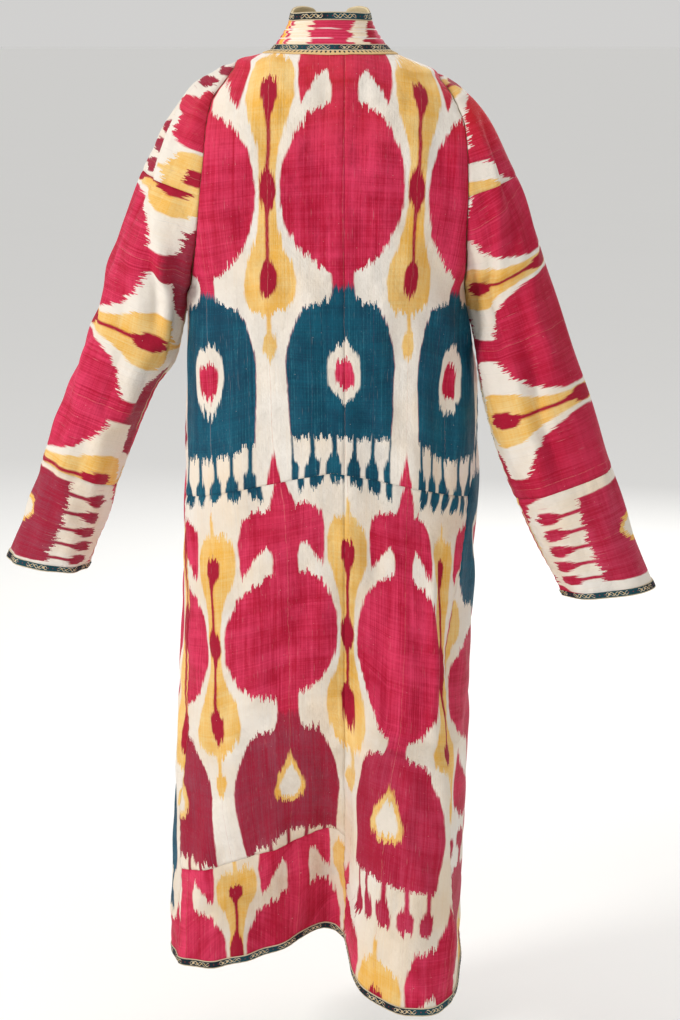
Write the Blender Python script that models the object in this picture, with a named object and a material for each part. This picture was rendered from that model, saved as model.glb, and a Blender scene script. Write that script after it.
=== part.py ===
"""A long open robe of patterned cloth, hollow, filled out as when it is worn.

Metres, +Z up. The wearer's back is +Y, the front is -Y and the wearer's left is +X.
The origin is on the line of the shoulders, below the neck, where a stand would hold it.
"""
import math

import bpy
import numpy as np

WALL = 0.0020
SEAM_PULL = 0.00020
COLLAR_PULL = 0.00030
TAPE_LIFT = 0.0004
TAPE_THICK = 0.0010
HEM_TAPE_WIDTH = 0.0105
CUFF_TAPE_WIDTH = 0.0105
NECK_TAPE_WIDTH = 0.0105
NECK_TAPE_CORNER_LIFT = 0.0018
RIB_COUNT = 6
RIB_HEIGHT = 0.0009
RIB_START = 0.06
RIB_END = 0.80
COLLAR_HOLLOW = 0.0050
CENTRE_SEAM_X = -0.015
HEM_LEVEL = -1.18
SEAM_RISE = 0.020
SEAM_DROP = 0.045
HEM_SWAY_TOP = -0.86
HEM_FOLD_POWER = 1.25
STAND_PLACE = 1.35
STAND_FADE = 0.40
SLEEVE_EDGE_SHARE = 0.985

# Steps for finding normals, in metres, degrees, sleeve rows and shares, and for halving a search.
STEP = 0.0005
ANGLE_STEP = 0.5
ROW_STEP = 0.02
SLEEVE_SHARE_STEP = 0.01
PLACE_STEP = 0.004
COLLAR_SHARE_STEP = 0.02
SEARCH_STEPS = 30
KEY_SCALE = 1e6

# Level names a row of the body. Lean lifts the wearer's left of it and lowers the right. Left and
# right are how far out the row goes, at its armhole edge or at the side. Edge depths are how far
# behind and before the shoulder line that edge lies, and are 0 where the row is whole. Back and
# front are the depths of the row at its middle, round is its squareness, and bend says how much of
# the dip of the waist seam it takes.
EDGE = ("level", "lean", "left", "right", "back_edge", "front_edge", "back", "front", "round", "bend")
EDGE_ROWS = (
    (0.0120, 0.0000, 0.0790, 0.0730, 0.000, 0.000, 0.0670, 0.0400, 2.20, 0.0),
    (0.0050, 0.0015, 0.0980, 0.0920, 0.000, 0.000, 0.0800, 0.0520, 2.20, 0.0),
    (-0.0075, 0.0075, 0.1210, 0.1320, 0.000, 0.000, 0.0930, 0.0660, 2.25, 0.0),
    (-0.0160, 0.0070, 0.1250, 0.1360, 0.022, 0.020, 0.0990, 0.0730, 2.30, 0.0),
    (-0.0300, 0.0050, 0.1360, 0.1450, 0.045, 0.040, 0.1060, 0.0810, 2.35, 0.0),
    (-0.0500, 0.0030, 0.1500, 0.1540, 0.068, 0.060, 0.1120, 0.0900, 2.40, 0.0),
    (-0.0800, 0.0010, 0.1570, 0.1640, 0.086, 0.076, 0.1180, 0.0990, 2.40, 0.0),
    (-0.1150, 0.0000, 0.1600, 0.1670, 0.096, 0.086, 0.1220, 0.1060, 2.40, 0.0),
    (-0.1650, 0.0000, 0.1655, 0.1680, 0.100, 0.090, 0.1240, 0.1100, 2.40, 0.0),
    (-0.2000, 0.0000, 0.1690, 0.1670, 0.092, 0.083, 0.1240, 0.1120, 2.40, 0.0),
    (-0.2380, 0.0000, 0.1730, 0.1660, 0.075, 0.068, 0.1230, 0.1130, 2.40, 0.0),
    (-0.2720, 0.0000, 0.1790, 0.1670, 0.048, 0.044, 0.1220, 0.1140, 2.40, 0.0),
    (-0.2980, 0.0000, 0.1850, 0.1700, 0.000, 0.000, 0.1210, 0.1150, 2.40, 0.0),
    (-0.3600, 0.0000, 0.1880, 0.1800, 0.000, 0.000, 0.1190, 0.1160, 2.40, 0.0),
    (-0.4200, 0.0000, 0.1900, 0.1875, 0.000, 0.000, 0.1180, 0.1170, 2.40, 0.3),
    (-0.4700, 0.0000, 0.1915, 0.1885, 0.000, 0.000, 0.1175, 0.1175, 2.40, 0.7),
    (-0.5300, 0.0000, 0.1930, 0.1880, 0.000, 0.000, 0.1170, 0.1180, 2.40, 1.0),
    (-0.6000, 0.0000, 0.1955, 0.1855, 0.000, 0.000, 0.1180, 0.1190, 2.40, 1.0),
    (-0.6800, 0.0000, 0.1985, 0.1830, 0.000, 0.000, 0.1200, 0.1200, 2.40, 1.0),
    (-0.7500, 0.0000, 0.2025, 0.1810, 0.000, 0.000, 0.1220, 0.1210, 2.40, 1.0),
    (-0.8300, 0.0000, 0.2060, 0.1785, 0.000, 0.000, 0.1240, 0.1225, 2.40, 1.0),
    (-0.9000, 0.0000, 0.2100, 0.1770, 0.000, 0.000, 0.1260, 0.1240, 2.40, 1.0),
    (-0.9700, 0.0000, 0.2130, 0.1760, 0.000, 0.000, 0.1280, 0.1255, 2.40, 1.0),
    (-1.0300, 0.0000, 0.2160, 0.1730, 0.000, 0.000, 0.1300, 0.1270, 2.40, 1.0),
    (-1.0900, 0.0000, 0.2175, 0.1720, 0.000, 0.000, 0.1310, 0.1280, 2.40, 0.5),
    (-1.1400, 0.0000, 0.2180, 0.1710, 0.000, 0.000, 0.1320, 0.1290, 2.40, 0.2),
    (HEM_LEVEL, 0.0000, 0.2190, 0.1720, 0.000, 0.000, 0.1330, 0.1300, 2.40, 0.0),
)
ARMPIT_ROW = 12
GUSSET_ROW = 14
WAIST_ROW = 16
HEM_PIECE_ROW = 23

# Round the hem from the wearer's right (-180 is the front middle, 0 the back middle): how far the
# cloth stands off its plain row, how far it hangs below or above level, and where the fold starts.
HEM_FOLD = ("angle", "out", "rise", "start")
HEM_FOLDS = (
    (-180.0, 0.000, 0.004, -0.60),
    (-150.0, -0.012, 0.004, -0.60),
    (-125.0, 0.014, 0.000, -0.60),
    (-100.0, 0.002, -0.004, -0.60),
    (-88.0, 0.008, -0.006, -0.60),
    (-79.0, 0.024, -0.008, -0.58),
    (-67.0, 0.081, -0.013, -0.56),
    (-61.0, 0.099, -0.015, -0.54),
    (-47.0, 0.106, -0.018, -0.52),
    (-30.0, 0.095, -0.017, -0.52),
    (-18.0, 0.076, -0.010, -0.60),
    (-10.0, 0.052, -0.002, -0.70),
    (-6.2, 0.018, 0.010, -0.76),
    (-4.6, -0.040, 0.018, -0.78),
    (-2.9, -0.082, 0.024, -0.80),
    (1.5, -0.098, 0.033, -0.80),
    (8.0, -0.079, 0.024, -0.78),
    (18.0, -0.049, 0.013, -0.76),
    (29.5, -0.025, 0.008, -0.74),
    (42.5, -0.001, 0.002, -0.70),
    (56.0, 0.010, 0.000, -0.70),
    (72.0, 0.014, -0.002, -0.70),
    (90.0, 0.012, -0.002, -0.70),
    (115.0, 0.010, 0.000, -0.60),
    (140.0, -0.012, 0.003, -0.60),
    (165.0, 0.004, 0.004, -0.60),
    (180.0, 0.000, 0.004, -0.60),
)

# Soft lengthwise folds of the rest of the body: middle angle at the top and at the foot, the levels
# that it fades in and out at, its half width in degrees and its height.
FOLD = ("angle_top", "angle_foot", "top", "foot", "half", "height")
FOLDS = (
    (-31.0, -64.0, -0.50, -1.24, 9.0, 0.0060),
    (-44.0, -78.0, -0.55, -1.20, 9.0, -0.0050),
    (33.0, 26.0, -0.62, -1.10, 12.0, 0.0045),
    (62.0, 55.0, -0.50, -1.15, 12.0, -0.0045),
    (-58.0, -50.0, -0.18, -0.46, 12.0, 0.0035),
    (57.0, 48.0, -0.20, -0.52, 13.0, 0.0040),
    (-12.0, -20.0, -0.36, -0.70, 10.0, -0.0035),
    (12.0, 17.0, -0.30, -0.62, 12.0, -0.0030),
    (128.0, 140.0, -0.20, -1.10, 13.0, -0.0050),
    (108.0, 118.0, -0.40, -1.24, 13.0, 0.0060),
    (-130.0, -142.0, -0.22, -1.10, 13.0, -0.0050),
    (-112.0, -120.0, -0.42, -1.24, 13.0, 0.0055),
)

# Angles from the back middle at which the side gussets meet the backs and the fronts.
GUSSET = ("level", "left_back", "right_back", "left_front", "right_front")
GUSSET_ROWS = (
    (0.012, 90.0, 90.0, 90.0, 90.0),
    (-0.420, 90.0, 90.0, 90.0, 90.0),
    (-0.500, 82.0, 73.0, 101.0, 104.0),
    (-0.600, 75.0, 62.0, 109.0, 114.0),
    (-0.740, 71.0, 53.0, 115.0, 121.0),
    (-0.860, 70.0, 56.0, 116.0, 121.0),
    (-1.050, 70.0, 62.0, 117.0, 120.0),
    (HEM_LEVEL, 70.0, 63.0, 117.0, 120.0),
)

# Half the width of the neckline and, below the collar's end, of the front opening.
FRONT_EDGE = ("level", "x")
FRONT_EDGES = (
    (0.0120, 0.0760),
    (0.0050, 0.0770),
    (-0.0075, 0.0765),
    (-0.0160, 0.0755),
    (-0.0300, 0.0710),
    (-0.0500, 0.0655),
    (-0.0800, 0.0600),
    (-0.1150, 0.0560),
    (-0.1650, 0.0525),
    (-0.2380, 0.0505),
    (-0.2980, 0.0480),
    (-0.3600, 0.0380),
    (-0.4200, 0.0180),
    (-0.4700, 0.0080),
    (-0.7500, 0.0120),
    (-1.0300, 0.0200),
    (HEM_LEVEL, 0.0260),
)
COLLAR_X = 0.0030
COLLAR_END_ROW = 15
FRONT_SHIFT_FADE = -0.30

# The collar's free edge, by place: 0 is the back middle, 1 the shoulder, 2 the end of the band.
FREE_EDGE = ("place", "x", "y", "z")
FREE_EDGES = (
    (0.00, 0.0000, 0.0460, 0.0600),
    (0.35, 0.0260, 0.0410, 0.0595),
    (0.70, 0.0440, 0.0240, 0.0585),
    (1.00, 0.0490, 0.0040, 0.0600),
    (1.08, 0.0460, -0.0180, 0.0650),
    (1.16, 0.0360, -0.0400, 0.0675),
    (1.24, 0.0225, -0.0560, 0.0650),
    (1.32, 0.0115, -0.0740, 0.0240),
    (1.40, 0.0060, -0.0930, -0.0330),
    (1.50, 0.0045, -0.1000, -0.0680),
    (1.60, 0.0032, -0.1090, -0.1430),
    (1.70, 0.0030, -0.1125, -0.2080),
    (1.80, 0.0030, -0.1140, -0.2600),
    (1.90, 0.0040, -0.1165, -0.3720),
    (2.00, 0.0055, -0.1178, -0.4660),
)

# Rows of the sleeves from the shoulder to the cuff. Out and down place the outer line. In the cap
# the other edge is the armhole, level by level; below the armpit it's the inner line. Turn is how far
# round the cloth goes from the outer line, depths are half of the ring's depth, shift is how far
# its middle swings back, and pin holds the middle at the armhole's.
SLEEVE = ("out", "down", "level", "in_out", "in_down", "turn", "back_depth", "front_depth", "shift", "pin")
LEFT_SLEEVE = (
    (0.1235, -0.0015, -0.0088, 0.1215, -0.0030, 90.0, 0.004, 0.004, 0.000, 1.0),
    (0.1370, -0.0080, -0.0160, 0.1250, -0.0090, 90.0, 0.022, 0.020, 0.000, 1.0),
    (0.1550, -0.0180, -0.0300, 0.1360, -0.0250, 90.0, 0.045, 0.040, 0.000, 1.0),
    (0.1760, -0.0300, -0.0500, 0.1500, -0.0470, 90.0, 0.068, 0.060, 0.000, 1.0),
    (0.2020, -0.0620, -0.0800, 0.1570, -0.0790, 90.0, 0.086, 0.076, -0.002, 1.0),
    (0.2210, -0.0950, -0.1150, 0.1600, -0.1150, 90.0, 0.096, 0.086, -0.004, 1.0),
    (0.2410, -0.1390, -0.1650, 0.1655, -0.1650, 90.0, 0.100, 0.090, -0.006, 1.0),
    (0.2550, -0.1710, -0.2000, 0.1690, -0.2000, 105.0, 0.095, 0.086, -0.008, 1.0),
    (0.2690, -0.2050, -0.2380, 0.1730, -0.2380, 122.0, 0.088, 0.080, -0.010, 1.0),
    (0.2810, -0.2360, -0.2720, 0.1790, -0.2720, 145.0, 0.080, 0.073, -0.012, 1.0),
    (0.2910, -0.2640, -0.2980, 0.1850, -0.2980, 180.0, 0.070, 0.064, -0.014, 1.0),
    (0.3000, -0.2980, -0.2980, 0.1930, -0.3370, 180.0, 0.064, 0.058, -0.018, 0.5),
    (0.3155, -0.3400, -0.2980, 0.2065, -0.3815, 180.0, 0.060, 0.055, -0.021, 0.0),
    (0.3330, -0.3870, -0.2980, 0.2350, -0.4240, 180.0, 0.058, 0.053, -0.024, 0.0),
    (0.3510, -0.4340, -0.2980, 0.2550, -0.4700, 180.0, 0.057, 0.052, -0.027, 0.0),
    (0.3670, -0.4760, -0.2980, 0.2708, -0.5120, 180.0, 0.056, 0.052, -0.030, 0.0),
    (0.3820, -0.5150, -0.2980, 0.2850, -0.5520, 180.0, 0.056, 0.051, -0.033, 0.0),
    (0.3980, -0.5600, -0.2980, 0.2985, -0.5960, 180.0, 0.055, 0.051, -0.035, 0.0),
    (0.4160, -0.6040, -0.2980, 0.3145, -0.6320, 180.0, 0.054, 0.050, -0.038, 0.0),
    (0.4345, -0.6520, -0.2980, 0.3280, -0.6670, 180.0, 0.053, 0.049, -0.040, 0.0),
)
RIGHT_SLEEVE = (
    (0.1345, -0.0165, -0.0088, 0.1325, -0.0165, 90.0, 0.004, 0.004, 0.000, 1.0),
    (0.1460, -0.0215, -0.0160, 0.1360, -0.0230, 90.0, 0.022, 0.020, 0.000, 1.0),
    (0.1600, -0.0300, -0.0300, 0.1450, -0.0350, 90.0, 0.045, 0.040, 0.002, 1.0),
    (0.1770, -0.0460, -0.0500, 0.1540, -0.0530, 90.0, 0.068, 0.060, 0.004, 1.0),
    (0.1950, -0.0710, -0.0800, 0.1640, -0.0810, 90.0, 0.086, 0.076, 0.007, 1.0),
    (0.2110, -0.1010, -0.1150, 0.1670, -0.1150, 90.0, 0.096, 0.086, 0.010, 1.0),
    (0.2310, -0.1430, -0.1650, 0.1680, -0.1650, 90.0, 0.100, 0.090, 0.017, 1.0),
    (0.2440, -0.1720, -0.2000, 0.1670, -0.2000, 105.0, 0.095, 0.086, 0.022, 1.0),
    (0.2560, -0.2060, -0.2380, 0.1660, -0.2380, 122.0, 0.088, 0.080, 0.028, 1.0),
    (0.2660, -0.2360, -0.2720, 0.1670, -0.2720, 145.0, 0.080, 0.073, 0.033, 1.0),
    (0.2735, -0.2620, -0.2980, 0.1700, -0.2980, 180.0, 0.068, 0.062, 0.037, 1.0),
    (0.2880, -0.3060, -0.2980, 0.1790, -0.3440, 180.0, 0.060, 0.054, 0.044, 0.5),
    (0.3025, -0.3490, -0.2980, 0.1840, -0.3900, 180.0, 0.055, 0.050, 0.051, 0.0),
    (0.3190, -0.3960, -0.2980, 0.1945, -0.4400, 180.0, 0.052, 0.047, 0.058, 0.0),
    (0.3345, -0.4430, -0.2980, 0.2075, -0.4880, 180.0, 0.050, 0.045, 0.065, 0.0),
    (0.3485, -0.4860, -0.2980, 0.2240, -0.5300, 180.0, 0.048, 0.044, 0.071, 0.0),
    (0.3560, -0.5080, -0.2980, 0.2340, -0.5510, 180.0, 0.048, 0.043, 0.074, 0.0),
    (0.3730, -0.5560, -0.2980, 0.2540, -0.5940, 180.0, 0.047, 0.042, 0.080, 0.0),
    (0.3910, -0.6040, -0.2980, 0.2740, -0.6330, 180.0, 0.046, 0.042, 0.086, 0.0),
    (0.4130, -0.6600, -0.2980, 0.2940, -0.6720, 180.0, 0.045, 0.041, 0.093, 0.0),
)
SLEEVE_SEAM_ROWS = (6, 16)
SLEEVE_ARMPIT_ROW = 10

# Soft creases of the sleeves: rows between which each runs, its angle round the ring from the outer
# line (positive is the back), its half width in degrees and its height.
SLEEVE_FOLD = ("row_top", "row_foot", "angle_top", "angle_foot", "half", "height")
SLEEVE_FOLDS = (
    (8.0, 17.0, 118.0, 128.0, 20.0, 0.0035),
    (9.0, 19.0, 152.0, 160.0, 22.0, -0.0040),
    (7.0, 14.0, 62.0, 84.0, 22.0, -0.0030),
    (12.0, 19.0, 40.0, 60.0, 20.0, 0.0025),
    (8.0, 18.0, -70.0, -95.0, 24.0, -0.0035),
    (10.0, 19.0, -125.0, -120.0, 22.0, 0.0035),
)

LEFT_BACK_COLUMNS = 11
RIGHT_BACK_COLUMNS = 12
RIGHT_BACK_CROWDING = 1.5
GUSSET_COLUMNS = 3
FRONT_COLUMNS = 9
SLEEVE_COLUMNS = 22


def clear_scene():
    for thing in list(bpy.data.objects):
        bpy.data.objects.remove(thing, do_unlink=True)


def smooth_table(names, rows, key):
    """Every column of a table as a smooth function of its key column, with no overshoot."""
    table = np.array(rows, float)
    at = table[:, names.index(key)]
    if at[0] > at[-1]:
        table = table[::-1]
        at = at[::-1]
    gaps = np.diff(at)
    rise = np.diff(table, axis=0) / gaps[:, None]
    slope = np.zeros_like(table)
    near = 2 * gaps[1:, None] + gaps[:-1, None]
    far = gaps[1:, None] + 2 * gaps[:-1, None]
    same = rise[:-1] * rise[1:] > 0
    safe_before = np.where(same, rise[:-1], 1.0)
    safe_after = np.where(same, rise[1:], 1.0)
    slope[1:-1] = np.where(same, (near + far) / (near / safe_before + far / safe_after), 0.0)
    slope[0] = rise[0]
    slope[-1] = rise[-1]

    def read(value):
        value = min(max(value, at[0]), at[-1])
        i = min(int(np.searchsorted(at, value, side="right")) - 1, len(gaps) - 1)
        t = (value - at[i]) / gaps[i]
        start = (1 + 2 * t) * (1 - t) ** 2
        end = t * t * (3 - 2 * t)
        found = start * table[i] + end * table[i + 1]
        found = found + gaps[i] * (t * (1 - t) ** 2 * slope[i] - t * t * (1 - t) * slope[i + 1])
        return dict(zip(names, found))

    return read


edge_at = smooth_table(EDGE, EDGE_ROWS, "level")
hem_at = smooth_table(HEM_FOLD, HEM_FOLDS, "angle")
gusset_at = smooth_table(GUSSET, GUSSET_ROWS, "level")
front_edge_at = smooth_table(FRONT_EDGE, FRONT_EDGES, "level")
free_edge_at = smooth_table(FREE_EDGE, FREE_EDGES, "place")
INDEXED_SLEEVE = ("row",) + SLEEVE
left_sleeve_at = smooth_table(INDEXED_SLEEVE, [(i, *r) for i, r in enumerate(LEFT_SLEEVE)], "row")
right_sleeve_at = smooth_table(INDEXED_SLEEVE, [(i, *r) for i, r in enumerate(RIGHT_SLEEVE)], "row")


def eased(value):
    value = min(max(value, 0.0), 1.0)
    return value * value * (3 - 2 * value)


def bell(offset, half):
    return math.exp(-((offset / half) ** 2))


def body_fold(level, angle):
    """How far the soft folds lift the cloth here."""
    lift = 0.0
    for row in FOLDS:
        fold = dict(zip(FOLD, row))
        share = (fold["top"] - level) / (fold["top"] - fold["foot"])
        if 0 < share < 1:
            middle = fold["angle_top"] + share * (fold["angle_foot"] - fold["angle_top"])
            strength = eased(share * 3) * eased((1 - share) * 3)
            lift += strength * fold["height"] * bell(angle - middle, fold["half"])
    return lift


def half_width(row, angle):
    """How wide the row would be if it went on round to the side."""
    side = "left" if angle >= 0 else "right"
    behind = abs(angle) <= 90
    edge = row["back_edge"] if behind else row["front_edge"]
    depth = row["back"] if behind else row["front"]
    share = 1 - (edge / depth) ** row["round"]
    return row[side] / share ** (1 / row["round"])


def body_point(level, angle):
    """The outer face of the body. The angle is 0 at the back middle and 90 at the wearer's left."""
    row = edge_at(level)
    turn = math.radians(angle)
    power = 2 / row["round"]
    across = math.sin(turn)
    behind = math.cos(turn)
    depth = row["back"] if behind >= 0 else row["front"]
    x = half_width(row, angle) * math.copysign(abs(across) ** power, across)
    y = depth * math.copysign(abs(behind) ** power, behind)
    wrapped = (angle + 180) % 360 - 180
    hem = hem_at(wrapped)
    grown = max(0.0, (hem["start"] - level) / (hem["start"] - HEM_LEVEL)) ** HEM_FOLD_POWER
    lift = body_fold(level, wrapped)
    out = hem["out"] * grown
    if behind >= 0:
        y += out
    else:
        y -= out
    x += lift * across
    y += lift * behind
    z = level + row["lean"] * across
    z += row["bend"] * (SEAM_RISE - SEAM_DROP * abs(across))
    z += hem["rise"] * eased((HEM_SWAY_TOP - level) / (HEM_SWAY_TOP - HEM_LEVEL))
    return np.array((x, y, z))


def angle_at(level, x, front):
    """The angle at which the row of this level is x off the middle."""
    row = edge_at(level)
    side = 1 if x >= 0 else -1
    width = half_width(row, side * (180.0 if front else 1.0))
    angle = math.degrees(math.asin(min(1.0, abs(x) / width) ** (row["round"] / 2)))
    return side * (180 - angle if front else angle)


def armhole_angle(level, side, front):
    """The angle of the armhole's edge, or of the side seam below the armpit."""
    row = edge_at(level)
    edge = row["front_edge" if front else "back_edge"]
    depth = row["front" if front else "back"]
    angle = math.degrees(math.acos((edge / depth) ** (row["round"] / 2)))
    return side * (180 - angle if front else angle)


def back_limit(level, side):
    if level >= EDGE_ROWS[ARMPIT_ROW][0]:
        return armhole_angle(level, side, False)
    return side * gusset_at(level)["left_back" if side > 0 else "right_back"]


def front_limit(level, side):
    if level >= EDGE_ROWS[ARMPIT_ROW][0]:
        return armhole_angle(level, side, True)
    return side * gusset_at(level)["left_front" if side > 0 else "right_front"]


def neck_angle(level, side):
    """The angle of the front's inner edge: the neckline, then the opening."""
    shift = COLLAR_X * eased((level - FRONT_SHIFT_FADE) / (EDGE_ROWS[0][0] - FRONT_SHIFT_FADE))
    return angle_at(level, side * front_edge_at(level)["x"] + shift, True)


def back_angle(level, share, side):
    middle = angle_at(level, CENTRE_SEAM_X, False)
    crowded = share ** RIGHT_BACK_CROWDING if side < 0 else share
    return middle + (back_limit(level, side) - middle) * crowded


def gusset_angle(level, share, side):
    back = back_limit(level, side)
    return back + (front_limit(level, side) - back) * share


def front_angle(level, share, side):
    outer = front_limit(level, side)
    return outer + (neck_angle(level, side) - outer) * share


def body_panel(angle_of, side):
    return lambda level, share: body_point(level, angle_of(level, share, side))


def sleeve_point(table, side, row_number, share):
    """The outer face of a sleeve. The share is 0 on the outer line, 1 and -1 at the cap's back and
    front edges, and both of those are the inner line below the armpit."""
    row = table(row_number)
    out = np.array((side * row["out"], row["down"]))
    inner = np.array((side * row["in_out"], row["in_down"]))
    back = share >= 0
    depth = row["back_depth" if back else "front_depth"]
    limit = math.radians(row["turn"])
    if row_number <= SLEEVE_ARMPIT_ROW:
        sewn = body_point(row["level"], armhole_angle(row["level"], side, not back))
        inner = sewn[[0, 2]]
        if row["turn"] < 179.0:
            depth = abs(sewn[1]) / math.sin(limit)
    span = np.linalg.norm(inner - out)
    turn = abs(share) * limit
    reach = span / (1 - math.cos(limit))
    flat = out + (inner - out) / span * reach * (1 - math.cos(turn))
    y = depth * math.sin(turn) * (1 if back else -1)
    y += row["shift"] * (1 - row["pin"] * abs(share))
    point = np.array((flat[0], y, flat[1]))
    lift = sleeve_fold(row_number, math.degrees(turn) * (1 if back else -1))
    middle = (out + inner) / 2
    off = point - np.array((middle[0], row["shift"], middle[1]))
    return point + off / np.linalg.norm(off) * lift


def sleeve_surface(table, side):
    return lambda row_number, share: sleeve_point(table, side, row_number, share)


def sleeve_fold(row_number, angle):
    lift = 0.0
    for row in SLEEVE_FOLDS:
        fold = dict(zip(SLEEVE_FOLD, row))
        share = (row_number - fold["row_top"]) / (fold["row_foot"] - fold["row_top"])
        if 0 < share < 1:
            middle = fold["angle_top"] + share * (fold["angle_foot"] - fold["angle_top"])
            strength = eased(share * 3) * eased((1 - share) * 4)
            lift += strength * fold["height"] * bell(angle - middle, fold["half"])
    return lift


def collar_base(place):
    """The neckline seam, on the body's outer face: 0 is the back middle, 1 the shoulder, 2 the end."""
    side = 1 if place >= 0 else -1
    length = abs(place)
    if length <= 1:
        return body_point(EDGE_ROWS[0][0], side * 90 * length)
    level = place_level(length)
    return body_point(level, neck_angle(level, side))


COLLAR_LEVELS = [row[0] for row in EDGE_ROWS[: COLLAR_END_ROW + 1]]


def place_level(length):
    at = (length - 1) * (len(COLLAR_LEVELS) - 1)
    return float(np.interp(at, range(len(COLLAR_LEVELS)), COLLAR_LEVELS))


def collar_point(place, share):
    """The outer face of the collar, from its seam at share 0 to its free edge at share 1."""
    side = 1 if place >= 0 else -1
    base = collar_base(place)
    free = free_edge_at(abs(place))
    shift = COLLAR_X * eased(2 - abs(place))
    edge = np.array((side * free["x"] + shift, free["y"], free["z"]))
    point = base + (edge - base) * share
    inward = np.array((COLLAR_X, 0.0, 0.0)) - point
    inward[2] = 0
    inward /= max(np.linalg.norm(inward), 1e-6)
    standing = eased((STAND_PLACE - abs(place)) / STAND_FADE)
    return point + inward * COLLAR_HOLLOW * standing * math.sin(math.pi * share)


def normal_of(surface, a, b, step_a, step_b):
    """The outward normal of a surface(a, b), by small steps each way."""
    along = surface(a + step_a, b) - surface(a - step_a, b)
    across = surface(a, b + step_b) - surface(a, b - step_b)
    normal = np.cross(along, across)
    length = np.linalg.norm(normal)
    return normal / length if length > 0 else normal


def faces_of(grid):
    """Triangles over a grid of points, each square split by its shorter diagonal."""
    rows, columns = grid.shape[:2]
    faces = []
    for i in range(rows - 1):
        for j in range(columns - 1):
            a = i * columns + j
            b = a + columns
            falling = np.linalg.norm(grid[i, j] - grid[i + 1, j + 1])
            rising = np.linalg.norm(grid[i, j + 1] - grid[i + 1, j])
            if falling < rising:
                faces += [(a, a + 1, b + 1), (a, b + 1, b)]
            else:
                faces += [(a, a + 1, b), (a + 1, b + 1, b)]
    return np.array(faces)


def welded(points, normals, faces):
    """Equal points made one, with the faces that collapse dropped."""
    keys = np.round(points * KEY_SCALE).astype(np.int64)
    _, first, index = np.unique(keys, axis=0, return_index=True, return_inverse=True)
    index = index.reshape(-1)
    summed = np.zeros((len(first), 3))
    np.add.at(summed, index, normals)
    summed /= np.linalg.norm(summed, axis=1)[:, None]
    faces = index[faces]
    whole = (faces[:, 0] != faces[:, 1]) & (faces[:, 1] != faces[:, 2]) & (faces[:, 0] != faces[:, 2])
    return points[first], summed, faces[whole]


def faced_out(points, normals, faces):
    corners = points[faces]
    found = np.cross(corners[:, 1] - corners[:, 0], corners[:, 2] - corners[:, 0])
    if (found * normals[faces].sum(axis=1)).sum() < 0:
        return faces[:, ::-1]
    return faces


def border_of(faces):
    """The directed edges that only one face has."""
    ends = {(int(a), int(b)) for f in faces for a, b in zip(f, np.roll(f, -1))}
    return [(a, b) for a, b in ends if (b, a) not in ends]


def pulled_back(points, normals, faces, pull):
    """The points with the border drawn in along the cloth, so that neighbours keep clear."""
    shift = np.zeros_like(points)
    count = np.zeros(len(points))
    for a, b in border_of(faces):
        along = points[b] - points[a]
        inward = np.cross(normals[a] + normals[b], along)
        inward /= max(np.linalg.norm(inward), 1e-9)
        for end in (a, b):
            shift[end] += inward
            count[end] += 1
    moved = count > 0
    shift[moved] /= count[moved][:, None]
    size = np.linalg.norm(shift, axis=1)
    size = np.where(size < 0.5, 0.5, size)
    return points + shift / size[:, None] ** 2 * pull


def shell(name, points, normals, faces, material, wall=WALL, pull=SEAM_PULL, base=0.0, inner=None):
    """A closed wall between the points moved out by base and the same moved in by the wall."""
    points, normals, faces = welded(points, normals, faces)
    faces = faced_out(points, normals, faces)
    moved = pulled_back(points, normals, faces, pull)
    outer_points = moved + normals * base
    inner_points = moved + normals * (base - wall)
    if inner is not None:
        inner_points = inner(points, moved)
    count = len(points)
    triangles = [tuple(f) for f in faces]
    triangles += [(f[2] + count, f[1] + count, f[0] + count) for f in faces]
    for a, b in border_of(faces):
        triangles.append((b, a, a + count))
        triangles.append((b, a + count, b + count))
    mesh = bpy.data.meshes.new(name)
    corners = np.concatenate([outer_points, inner_points])
    mesh.from_pydata([tuple(p) for p in corners], [], [tuple(int(i) for i in t) for t in triangles])
    mesh.update()
    mesh.materials.append(material)
    thing = bpy.data.objects.new(name, mesh)
    bpy.context.scene.collection.objects.link(thing)
    return thing


def cloth(name, colour, roughness):
    material = bpy.data.materials.new(name)
    material.use_nodes = True
    node = material.node_tree.nodes["Principled BSDF"]
    node.inputs["Base Color"].default_value = (*colour, 1.0)
    node.inputs["Roughness"].default_value = roughness
    return material


def flat_grid(points, normals):
    return points.reshape(-1, 3), normals.reshape(-1, 3), faces_of(points)


def tape_share(surface, level, width):
    """The share at which a row is this far, straight across, from its far end."""
    end = surface(level, 1.0)
    if np.linalg.norm(surface(level, 0.0) - end) <= width:
        return 0.0
    low, high = 0.0, 1.0
    for _ in range(SEARCH_STEPS):
        middle = (low + high) / 2
        if np.linalg.norm(surface(level, middle) - end) > width:
            low = middle
        else:
            high = middle
    return low


def body_grid(angle_of, side, first_row, last_row, columns, tape=0.0):
    """Points and normals of a panel, row by row, with a line at the tape's width if it has one."""
    levels = [row[0] for row in EDGE_ROWS[first_row : last_row + 1]]
    surface = body_panel(angle_of, side)
    points = []
    normals = []
    for level in levels:
        shares = np.linspace(0, 1, columns + 1)
        if tape:
            shares = np.append(np.linspace(0, tape_share(surface, level, tape), columns), 1.0)
        angles = [angle_of(level, share, side) for share in shares]
        points.append([body_point(level, angle) for angle in angles])
        normals.append([normal_of(body_point, level, angle, STEP, ANGLE_STEP) for angle in angles])
    return np.array(points), np.array(normals)


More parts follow.
